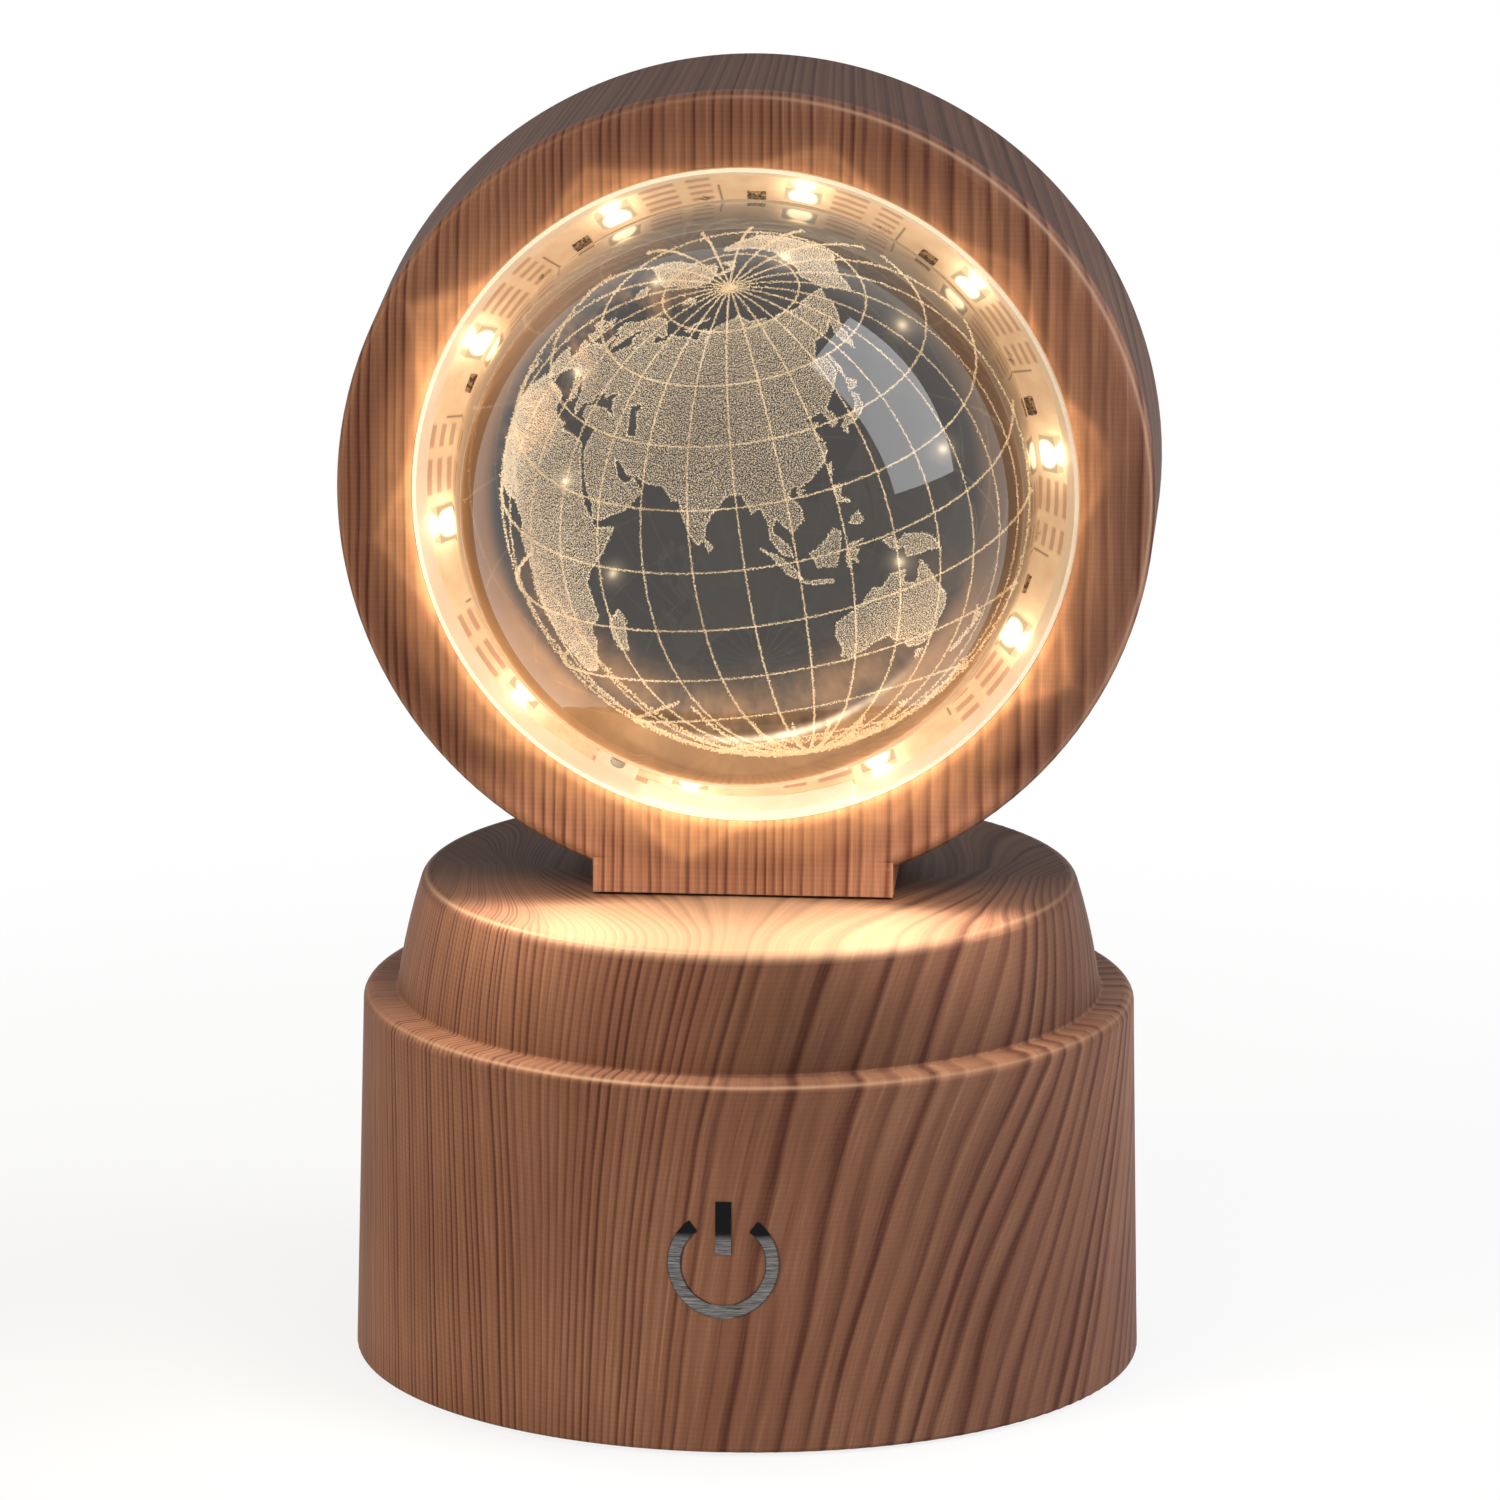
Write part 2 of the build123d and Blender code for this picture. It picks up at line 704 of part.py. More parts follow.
# Rear cover, recessed in the back of the ring
with BuildPart() as rear_cover:
    with BuildSketch(facing_back(cover_inside)):
        with Locations((0, ring_height)):
            Circle(housing_bore - slip_clearance)
            Circle(cover_opening_radius, mode=Mode.SUBTRACT)
        with Locations(*face_points(cover_post_pitch, post_angles)):
            Circle(cover_screw_radius + slip_clearance, mode=Mode.SUBTRACT)
    extrude(amount=-cover_thickness)
    with BuildSketch(facing_back(cover_outside)):
        with Locations(*face_points(cover_post_pitch, post_angles)):
            Circle(cover_screw_head_radius + slip_clearance)
    extrude(amount=cover_screw_head, mode=Mode.SUBTRACT)
    opening_rims = rear_cover.edges().filter_by(GeomType.CIRCLE).group_by(SortBy.RADIUS)[-2]
    fillet(opening_rims.sort_by(Axis.Y)[-1], cover_opening_round)
finish(rear_cover, "rear_cover")

with BuildPart() as cover_screws:
    with BuildSketch(facing_back(cover_outside)):
        with Locations(*face_points(cover_post_pitch, post_angles)):
            Circle(cover_screw_head_radius)
    extrude(amount=cover_screw_head)
    with BuildSketch(facing_back(cover_outside - cover_screw_head)):
        with Locations(*face_points(cover_post_pitch, post_angles)):
            Circle(cover_screw_radius)
    extrude(amount=cover_screw_length)
finish(cover_screws, "cover_screws")

# Light seat: white ring whose cone carries the strip, facing the viewer and the ball
cone = radians(seat_cone_angle)
along = Vector(cos(cone), -sin(cone))
inward = Vector(-sin(cone), -cos(cone))
strip_corner = Vector(front_face + strip_front_depth, opening_radius - strip_lip_width)
bed_corner = strip_corner - inward * strip_thickness
bed_end = bed_corner + along * (strip_width + slip_clearance)
lip_y = front_face + seat_lip_setback
nose_radius = opening_radius - seat_clearance
shoulder_y = front_wall_back - seat_shoulder
bead_end = bed_end.X + bead_length
lip_corner = Vector(lip_y, nose_radius - seat_lip_wall)

with BuildPart() as light_seat:
    with BuildSketch(ring_section(0)):
        with BuildLine():
            Polyline(
                (lip_corner.X, lip_corner.Y),
                (lip_y, nose_radius),
                (shoulder_y, nose_radius),
                (shoulder_y, seat_radius),
                (cover_inside, seat_radius),
                (cover_inside, seat_radius - seat_tail_wall),
                (bead_end, seat_radius - seat_tail_wall),
                (bead_end, bed_end.Y),
                (bed_end.X, bed_end.Y),
                (bed_corner.X, bed_corner.Y),
                (strip_corner.X, strip_corner.Y),
                close=True,
            )
        make_face()
    revolve(axis=ring_axis)
    hole_way = clock_point(1, seat_hole_angle, 0) - Vector(0, 0, ring_height)
    with BuildSketch(Plane(origin=(0, front_face + seat_hole_depth, ring_height), z_dir=hole_way)):
        Circle(ring_lead_diameter / 2 + slip_clearance)
    extrude(amount=seat_radius + overrun, mode=Mode.SUBTRACT)
finish(light_seat, "light_seat")


def strip_point(setback, height):
    """Point in the ring's section, by how far back along the cone and how high above the strip."""
    return strip_corner + along * setback + inward * height


# Flexible light strip on the cone
strip_corners = [strip_point(0, 0), strip_point(strip_width, 0)]
strip_corners += [strip_point(strip_width, -strip_thickness), strip_point(0, -strip_thickness)]
with BuildPart() as light_strip:
    with BuildSketch(ring_section(strip_start_angle)):
        with BuildLine():
            Polyline(*[(corner.X, corner.Y) for corner in strip_corners], close=True)
        make_face()
    revolve(axis=ring_axis, revolution_arc=strip_arc_angle)
finish(light_strip, "light_strip")


def strip_planes(setback, first_angle, length, width):
    """Planes on the strip at even angles, x along it, raised so that a flat piece clears its curve."""
    rise = length**2 / (8 * strip_point(setback + width / 2, 0).Y)
    spot = strip_point(setback, rise)
    planes = []
    for number in range(diode_count):
        angle = first_angle + number * 360 / diode_count
        turn = radians(angle)
        normal = (inward.Y * sin(turn), inward.X, inward.Y * cos(turn))
        planes.append(Plane(clock_point(spot.Y, angle, spot.X), (cos(turn), 0, -sin(turn)), normal))
    return planes


with BuildPart() as diodes:
    with Locations(*strip_planes(diode_setback, diode_first_angle, diode_length, diode_width)):
        Box(diode_length, diode_width, diode_height, align=(Align.CENTER, Align.CENTER, Align.MIN))
finish(diodes, "diodes")

with BuildPart() as strip_resistors:
    resistor_first_angle = diode_first_angle + resistor_offset_angle
    with Locations(*strip_planes(resistor_setback, resistor_first_angle, resistor_length, resistor_width)):
        Box(resistor_length, resistor_width, resistor_height, align=(Align.CENTER, Align.CENTER, Align.MIN))
finish(strip_resistors, "strip_resistors")

# White cover over the strip's soldered ends, lying on the seat's front wall
lip_way = (strip_corner - lip_corner).normalized()
lip_inward = Vector(lip_way.Y, -lip_way.X)
cover_step = lip_inward * end_cover_thickness
cover_corners = [lip_corner, strip_corner, strip_corner + cover_step, lip_corner + cover_step]
with BuildPart() as strip_end_cover:
    with BuildSketch(ring_section(end_cover_start_angle)):
        with BuildLine():
            Polyline(*[(corner.X, corner.Y) for corner in cover_corners], close=True)
        make_face()
    revolve(axis=ring_axis, revolution_arc=end_cover_arc_angle)
finish(strip_end_cover, "strip_end_cover")

# Glass ball, the clear bead that bonds it to the seat, and the globe engraved in it
ball_middle = (0, ball_depth, ring_height)
with BuildPart() as crystal_ball:
    with Locations(ball_middle):
        Sphere(ball_radius)
finish(crystal_ball, "crystal_ball")

with BuildPart() as ball_bead:
    with BuildSketch(ring_section(0)):
        with Locations((bed_end.X + bead_length / 2, bed_end.Y - bead_width / 2)):
            Rectangle(bead_length, bead_width)
        with Locations((ball_depth, 0)):
            Circle(ball_radius, mode=Mode.SUBTRACT)
    revolve(axis=ring_axis)
finish(ball_bead, "ball_bead")

globe_middle = (globe_offset_right, ball_depth + globe_offset_back, ring_height - globe_offset_down)
globe_place = Location(globe_middle, (globe_tilt_angle, globe_roll_angle, globe_heading_angle))
globe_reach = globe_radius + globe_line
parallel_slabs = []
for latitude in parallel_angles:
    raised = Location((0, 0, globe_radius * sin(radians(latitude))))
    parallel_slabs.append(globe_place * raised * Cylinder(globe_reach, globe_line * cos(radians(latitude))))

with BuildPart() as globe_engraving:
    with BuildSketch(Plane(globe_place)):
        with PolarLocations(radius=0, count=meridian_count, angular_range=180, endpoint=False):
            Rectangle(2 * globe_reach, globe_line)
    extrude(amount=globe_reach, both=True)
    add(parallel_slabs)
    with Locations(globe_middle):
        Sphere(globe_radius + globe_line / 2, mode=Mode.INTERSECT)
        Sphere(globe_radius - globe_line / 2, mode=Mode.SUBTRACT)
    with BuildSketch(facing_back(ball_depth + globe_back_depth)):
        with Locations((0, ring_height)):
            Circle(globe_reach)
    extrude(amount=-globe_reach, mode=Mode.SUBTRACT)
finish(globe_engraving, "globe_engraving")

# Leads: ring to spindle, spindle to board, cell to board and touch pad to board
lead_joint = spindle_bottom - lead_drop
seat_space = (seat_radius + housing_bore) / 2
lead_level = (floor_top + spindle_flange + ring_height - seat_radius) / 2
hole_y = front_face + seat_hole_depth
hole_setback = (hole_y - strip_corner.X) / along.X
ring_lead_points = [
    clock_point(strip_point(hole_setback, 0).Y + ring_lead_diameter / 4, seat_hole_angle, hole_y),
    clock_point(seat_space, seat_hole_angle, hole_y),
    Vector(-ring_lead_side, 0, lead_level),
    Vector(0, 0, lead_level),
    Vector(0, 0, lead_joint),
]
ring_lead_bends = [ring_lead_bend, ring_lead_sweep, ring_lead_bend]
write_lead("ring_lead", ring_lead_points, ring_lead_bends, ring_lead_diameter)

with BuildPart() as lead_splice:
    with BuildSketch(Plane.XY.offset(lead_joint + lead_gap)):
        Circle(splice_radius)
        Circle(ring_lead_diameter / 2, mode=Mode.SUBTRACT)
    extrude(amount=splice_length)
finish(lead_splice, "lead_splice")

plug_top = board_top + plug_height
tail_lead_points = [
    (0, ring_plug_middle, plug_top),
    (0, ring_plug_middle, plug_top + tail_lead_straight),
    (0, 0, lead_joint - lead_gap - tail_lead_straight),
    (0, 0, lead_joint - lead_gap),
]
write_lead("tail_lead", tail_lead_points, [tail_lead_bend, tail_lead_bend], ring_lead_diameter)

plug_front = plug_middle - plug_length / 2
plug_lead_level = board_top + plug_height / 2
cell_lead_level = board_top - board_thickness - small_lead_diameter
cell_lead_turn = (cell_rear + board_front) / 2
cell_lead_points = [
    (-plug_spacing, cell_rear, cell_lead_level),
    (-plug_spacing, cell_lead_turn, cell_lead_level),
    (-plug_spacing, cell_lead_turn, plug_lead_level),
    (-plug_spacing, plug_front, plug_lead_level),
]
write_lead("cell_lead", cell_lead_points, [cell_lead_bend, cell_lead_bend], small_lead_diameter)

pad_inside = cavity_radius - touch_pad_thickness
over_cell = cell_bottom + cell_thickness + small_lead_diameter
touch_lead_points = [
    (0, -pad_inside, over_cell),
    (0, touch_lead_straight - pad_inside, over_cell),
    (plug_spacing, cell_rear - touch_lead_straight, over_cell),
    (plug_spacing, cell_lead_turn, plug_lead_level),
    (plug_spacing, plug_front, plug_lead_level),
]
touch_lead_bends = [touch_lead_bend, touch_lead_bend, touch_lead_bend]
write_lead("touch_lead", touch_lead_points, touch_lead_bends, small_lead_diameter)
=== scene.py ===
import math

import bmesh
import bpy
import numpy as np
from mathutils import Matrix, Vector

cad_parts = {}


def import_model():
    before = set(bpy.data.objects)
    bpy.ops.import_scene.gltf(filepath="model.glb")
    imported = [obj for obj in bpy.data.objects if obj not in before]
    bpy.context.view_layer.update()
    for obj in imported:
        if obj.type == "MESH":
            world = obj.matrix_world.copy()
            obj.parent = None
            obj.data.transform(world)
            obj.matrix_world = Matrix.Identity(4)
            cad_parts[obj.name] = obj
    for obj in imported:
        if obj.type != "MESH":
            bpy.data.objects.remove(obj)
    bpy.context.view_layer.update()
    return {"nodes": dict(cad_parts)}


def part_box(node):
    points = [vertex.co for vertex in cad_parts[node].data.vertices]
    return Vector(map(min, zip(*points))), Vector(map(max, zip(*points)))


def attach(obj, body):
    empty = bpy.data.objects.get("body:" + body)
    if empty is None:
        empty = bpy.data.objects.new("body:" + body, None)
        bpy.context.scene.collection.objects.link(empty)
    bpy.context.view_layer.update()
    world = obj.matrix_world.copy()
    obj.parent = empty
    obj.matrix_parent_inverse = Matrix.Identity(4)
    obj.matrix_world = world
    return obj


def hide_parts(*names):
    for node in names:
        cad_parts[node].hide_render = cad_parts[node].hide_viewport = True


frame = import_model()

MM = 0.001
scene = bpy.context.scene
nodes = frame["nodes"]
scene.view_settings.view_transform = "Standard"

# The ball, in metres
ball_low, ball_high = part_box("crystal_ball")
BALL_CENTRE = (ball_low + ball_high) / 2
BALL_RADIUS = (ball_high.z - ball_low.z) / 2

# Places taken from the frame, in millimetres
ring_low, ring_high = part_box("ring_housing")
base_low, base_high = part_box("base_shell")
strip_low, strip_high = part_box("light_strip")
diode_low, diode_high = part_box("diodes")
BALL_DEPTH = BALL_CENTRE.y / MM
RING_HEIGHT = BALL_CENTRE.z / MM
RING_RADIUS = (ring_high.x - ring_low.x) / 2 / MM
RING_FRONT = ring_low.y / MM
BASE_RADIUS = (base_high.x - base_low.x) / 2 / MM
BASE_TOP = base_high.z / MM
STRIP_FRONT = strip_low.y / MM
STRIP_REAR = strip_high.y / MM
DIODE_DEPTH = (diode_low.y + diode_high.y) / 2 / MM
ENGRAVED_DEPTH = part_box("globe_engraving")[1].y / MM

# Places that no box gives, in millimetres
LEDGE_HEIGHT = 32.4
UPPER_RADIUS = 28.2
LIP_RADIUS = RING_RADIUS - 6.4

# Diodes round the opening, in degrees clockwise from the top, and millimetres along the strip for a degree
LED_PITCH = 36.0
FIRST_LED = 10.3
LED_ARC = 0.49

# Camera at the photograph's viewing angle
CAMERA_AZIMUTH = math.radians(3.536)
CAMERA_ELEVATION = math.radians(13.793)
CAMERA_ROLL = math.radians(0.288)
CAMERA_DISTANCE = 1.10098
CAMERA_TARGET = Vector((-0.000012, 0, 0.05372))
CAMERA_LENS = 305.84
CAMERA_SHIFT = -0.00273
CAMERA_REACH = 20


def add_camera():
    """The camera, looking down a little from just right of the front."""
    back = Vector((
        math.sin(CAMERA_AZIMUTH) * math.cos(CAMERA_ELEVATION),
        -math.cos(CAMERA_AZIMUTH) * math.cos(CAMERA_ELEVATION),
        math.sin(CAMERA_ELEVATION),
    ))
    level_right = Vector((0, 0, 1)).cross(back).normalized()
    level_up = back.cross(level_right)
    right = level_right * math.cos(CAMERA_ROLL) + level_up * math.sin(CAMERA_ROLL)
    up = level_up * math.cos(CAMERA_ROLL) - level_right * math.sin(CAMERA_ROLL)
    camera = bpy.data.objects.new("camera", bpy.data.cameras.new("camera"))
    scene.collection.objects.link(camera)
    camera.matrix_world = Matrix.Translation(CAMERA_TARGET + back * CAMERA_DISTANCE) @ (
        Matrix((right, up, back)).transposed().to_4x4()
    )
    camera.data.lens = CAMERA_LENS
    camera.data.shift_y = CAMERA_SHIFT
    camera.data.clip_end = CAMERA_REACH
    scene.camera = camera
    return right, up, back


camera_right, camera_up, camera_back = add_camera()

# Sockets of the Mix node that carry colours
MIX_FIRST = 6
MIX_SECOND = 7
MIX_RESULT = 2


class Nodes:
    """A node tree, with a short call for each kind of node."""

    def __init__(self, tree):
        self.tree = tree
        self.vector = None
        self.place = None

    def add(self, kind, *values, **settings):
        """A node with its settings, and values for its first sockets."""
        node = self.tree.nodes.new(kind)
        for setting, value in settings.items():
            setattr(node, setting, value)
        for socket, value in zip(node.inputs, values):
            self.feed(socket, value)
        return node

    def feed(self, socket, value):
        if isinstance(value, bpy.types.NodeSocket):
            self.tree.links.new(value, socket)
        elif isinstance(value, (tuple, list)) and len(value) == 3 and socket.type == "RGBA":
            socket.default_value = (*value, 1)
        else:
            socket.default_value = value

    def math(self, operation, *values):
        return self.add("ShaderNodeMath", *values, operation=operation).outputs[0]

    def times(self, first, *others):
        for other in others:
            first = self.math("MULTIPLY", first, other)
        return first

    def minus(self, first, second):
        return self.math("SUBTRACT", first, second)

    def size(self, value):
        """A number without its sign."""
        return self.math("ABSOLUTE", value)

    def most(self, first, second):
        return self.math("MAXIMUM", first, second)

    def sum(self, *terms):
        """The sum of numbers and of products, each given as its factors."""
        total, *others = [self.times(*term) if isinstance(term, tuple) else term for term in terms]
        for other in others:
            total = self.math("ADD", total, other)
        return total

    def blend(self, share, first, second):
        """A number between first and second."""
        return self.sum(first, (self.minus(second, first), share))

    def length(self, first, second):
        return self.math("SQRT", self.sum((first, first), (second, second)))

    def fit(self, value, low, high, to_low=0.0, to_high=1.0, kind="LINEAR"):
        """value from low..high to to_low..to_high, held at the ends."""
        values = (value, low, high, to_low, to_high)
        return self.add("ShaderNodeMapRange", *values, interpolation_type=kind).outputs[0]

    def ease(self, value, low, high, to_low=0.0, to_high=1.0):
        """As fit, with soft ends."""
        return self.fit(value, low, high, to_low, to_high, "SMOOTHSTEP")

    def fall(self, value, low, high):
        """1 up to low, 0 from high on."""
        return self.fit(value, low, high, 1.0, 0.0)

    def bell(self, value, middle, width):
        """1 where value is at middle, falling to 0 about twice the width away."""
        offset = self.math("DIVIDE", self.minus(value, middle), width)
        return self.math("EXPONENT", self.times(offset, offset, -1.0))

    def join(self, x, y, z):
        return self.add("ShaderNodeCombineXYZ", x, y, z).outputs[0]

    def millimetres(self):
        """The object's own x, y and z, in millimetres."""
        if self.place is None:
            place = self.add("ShaderNodeTexCoord").outputs["Object"]
            scaled = self.add("ShaderNodeVectorMath", place, operation="SCALE")
            scaled.inputs["Scale"].default_value = 1 / MM
            self.vector = scaled.outputs[0]
            self.place = tuple(self.add("ShaderNodeSeparateXYZ", self.vector).outputs)
        return self.place

    def noise(self, scale, vector=None, detail=2.0, roughness=0.5):
        """Noise at the place on the object, or at another vector."""
        if vector is None:
            self.millimetres()
            vector = self.vector
        node = self.add("ShaderNodeTexNoise", vector)
        for socket, value in (("Scale", scale), ("Detail", detail), ("Roughness", roughness)):
            node.inputs[socket].default_value = value
        return node.outputs["Fac"]

    def grain(self, scale, across, along, layer, detail=2.0, roughness=0.5):
        """Noise by two pairs of a number and its rate; each layer has its own pattern."""
        place = self.join(self.times(*across), self.times(*along), layer)
        return self.noise(scale, place, detail, roughness)

    def chance(self, whole, rate, layer):
        """A number of its own for each whole number."""
        return self.noise(1.0, self.join(self.times(whole, rate), layer, 0.0))

    def ramp(self, value, stops):
        node = self.add("ShaderNodeValToRGB", value)
        while len(node.color_ramp.elements) < len(stops):
            node.color_ramp.elements.new(0.5)
        for element, (at, colour) in zip(node.color_ramp.elements, stops):
            element.position = at
            element.color = (*colour, 1)
        return node.outputs["Color"]

    def mix(self, share, first, second, blend="MIX"):
        node = self.add("ShaderNodeMix", share, data_type="RGBA", blend_type=blend)
        self.feed(node.inputs[MIX_FIRST], first)
        self.feed(node.inputs[MIX_SECOND], second)
        return node.outputs[MIX_RESULT]

    def scaled(self, colour, amount):
        """A colour times a number."""
        return self.mix(1.0, colour, self.join(amount, amount, amount), "MULTIPLY")

    def show_white(self, share, lit, white_kind, output):
        """Ends the tree with lit, and by a share with plain white."""
        white = self.add(white_kind)
        white.inputs["Color"].default_value = (1, 1, 1, 1)
        white.inputs["Strength"].default_value = 1.0
        mixed = self.add("ShaderNodeMixShader", share, lit, white.outputs[0]).outputs[0]
        self.feed(self.tree.nodes[output].inputs["Surface"], mixed)


class Shade(Nodes):
    """The nodes of a new material; lamp is False for a glow that isn't sampled as a lamp."""

    def __init__(self, name, sockets=None, lamp=True):
        self.material = bpy.data.materials.new(name)
        self.material.use_nodes = True
        super().__init__(self.material.node_tree)
        self.surface = self.tree.nodes["Principled BSDF"]
        for socket, value in (sockets or {}).items():
            self.surface.inputs[socket].default_value = value
        if not lamp:
            self.material.cycles.emission_sampling = "NONE"

    def set(self, socket, value):
        self.feed(self.surface.inputs[socket], value)

    def streaks(self, rates):
        """Noise stretched by rates for x, y and z."""
        place = self.join(*[self.times(axis, rate) for axis, rate in zip(self.millimetres(), rates)])
        return self.noise(1.0, place, detail=3.0, roughness=0.7)

    def bump(self, height, strength, depth):
        """Relief of a depth in millimetres."""
        node = self.add("ShaderNodeBump")
        node.inputs["Strength"].default_value = strength
        node.inputs["Distance"].default_value = depth * MM
        self.feed(node.inputs["Height"], height)
        self.set("Normal", node.outputs[0])

    def clock(self, rise=None):
        """Degrees clockwise from the top about the ring's axis, 0 to 360, and the distance from it."""
        x, y, z = self.millimetres()
        if rise is None:
            rise = self.minus(z, RING_HEIGHT)
        turn = self.math("DEGREES", self.math("ARCTAN2", x, rise))
        return self.math("FLOORED_MODULO", turn, 360.0), self.length(x, rise)

    def towards(self, around, angle, low, high):
        """1 near a direction and 0 away from it, by the cosine of the angle between."""
        turn = self.math("COSINE", self.math("RADIANS", self.minus(around, angle)))
        return self.ease(turn, low, high)

    def past_led(self, around, before=0.0):
        """Degrees clockwise past a line that lies some degrees before the nearest diode."""
        return self.math("FLOORED_MODULO", self.minus(around, FIRST_LED - before), LED_PITCH)

    def beside_led(self, around):
        """Degrees clockwise of the nearest diode, from minus half a pitch to half a pitch."""
        return self.minus(self.past_led(around, LED_PITCH / 2), LED_PITCH / 2)

    def from_led(self, around, y):
        """Millimetres from the middle of the nearest diode."""
        return self.length(self.times(self.beside_led(around), LED_ARC), self.minus(y, DIODE_DEPTH))


# Printed wood film
WOOD_DARK = (0.075, 0.026, 0.018)
WOOD_MID = (0.190, 0.088, 0.055)
WOOD_LIGHT = (0.300, 0.160, 0.102)
WOOD_STOPS = ((0.0, WOOD_LIGHT), (0.36, WOOD_MID), (0.90, WOOD_DARK))
# Pale tone that painted sheen and painted light turn the film towards
PAINTED_LIGHT_TONE = (0.62, 0.42, 0.28)
# Colour of the painted glow on the ring's face
PAINTED_GLOW_COLOUR = (1.0, 0.60, 0.26)
FILM_SPECULAR = 0.06
LINE_STOPS = ((0.0, 0.0), (0.42, 0.25), (0.68, 0.85), (0.80, 1.0), (1.0, 0.0))
DOT_PITCH = 0.45
PATTERN_SOFTNESS = 6.0
PATTERN_LEVEL = 0.40
PAINTED_SHADE_RATE = 1.15


def wood_film(mat, across, wide_from, fine_lines, wide_lines, painted_light, painted_shade):
    """Colour and gloss of the film, whose grain runs upright, with painted shade and painted light mixed
    in; across is in millimetres.
    """
    along = mat.millimetres()[2]
    narrow = mat.math("SMOOTH_MIN", across, wide_from, PATTERN_SOFTNESS)
    even = mat.sum((across, wide_lines), (narrow, fine_lines - wide_lines))
    drift = mat.grain(0.09, (across,), (along, 0.25), 3.0)
    waver = mat.grain(0.4, (across,), (along, 0.06), 5.0, detail=1.0)
    turns = mat.sum(even, (drift, 2.2), (waver, 0.35))
    profile = mat.ramp(mat.math("FRACT", turns), [(at, (grey, grey, grey)) for at, grey in LINE_STOPS])
    line = mat.math("FLOOR", turns)
    strength = mat.fit(mat.chance(line, 1.7, 0.5), 0.36, 0.64, 0.2, 0.85)
    threads = mat.grain(1.0, (turns, 3.1), (along, 0.05), 7.0, detail=3.0, roughness=0.7)
    fibre = mat.grain(2.6, (across, 2.0), (along, 0.06), 0.0, roughness=0.7)
    patch = mat.noise(0.05, detail=1.0)
    dots = mat.math("SINE", mat.times(along, math.tau / DOT_PITCH))
    dark = mat.sum((profile, strength, 0.78), (threads, 0.55), (fibre, 0.40), (patch, 0.45), (dots, 0.02))
    colour = mat.ramp(mat.minus(dark, PATTERN_LEVEL), WOOD_STOPS)
    # Painted shade darkens the film; painted light (sheen on edges, light in front of the foot) turns it
    # pale
    colour = mat.scaled(colour, mat.minus(1.0, mat.times(painted_shade, PAINTED_SHADE_RATE)))
    colour = mat.mix(painted_light, colour, PAINTED_LIGHT_TONE)
    mat.set("Base Color", colour)
    mat.set("Roughness", mat.fit(fibre, 0.2, 0.8, 0.50, 0.62))
    return colour


# Film of the base, in millimetres: where its lines widen, and lines to a millimetre before and after
BASE_LINES = (-5.0, 1.55, 0.46)
TOP_EDGE = (BASE_TOP - 1.1, BASE_TOP - 0.1)
TOP_FOLD_FROM = 16.0
BACK_TURNS = (1.8, 2.6)
LEAN_PLACES = (-24.0, 32.0)
LEANS = (-0.10, 0.62)
FAN_DEPTH = 22.0
FAN_RATE = 0.018
LEDGE_SLANT = 1.0
# Painted sheen on the rims, painted light in front of the foot, and painted shade beside and behind it
SHEEN_LEFT = 8.0
SHEEN_SHARES = (0.42, 0.10)
PAINTED_SPILL_DEPTHS = (3.0, 17.0)
PAINTED_SPILL_SHARES = (0.30, 0.24)
PAINTED_SPILL_WIDTHS = (12.0, 22.0)
PAINTED_SPILL_ENDS = (-10.0, -7.0)
BEHIND_PLACES = (-11.0, -4.0)
BEHIND_PAINTED_SHADE = 0.55
WALL_PLACES = (-4.0, 7.0)
WALL_PAINTED_SHADE = 0.26


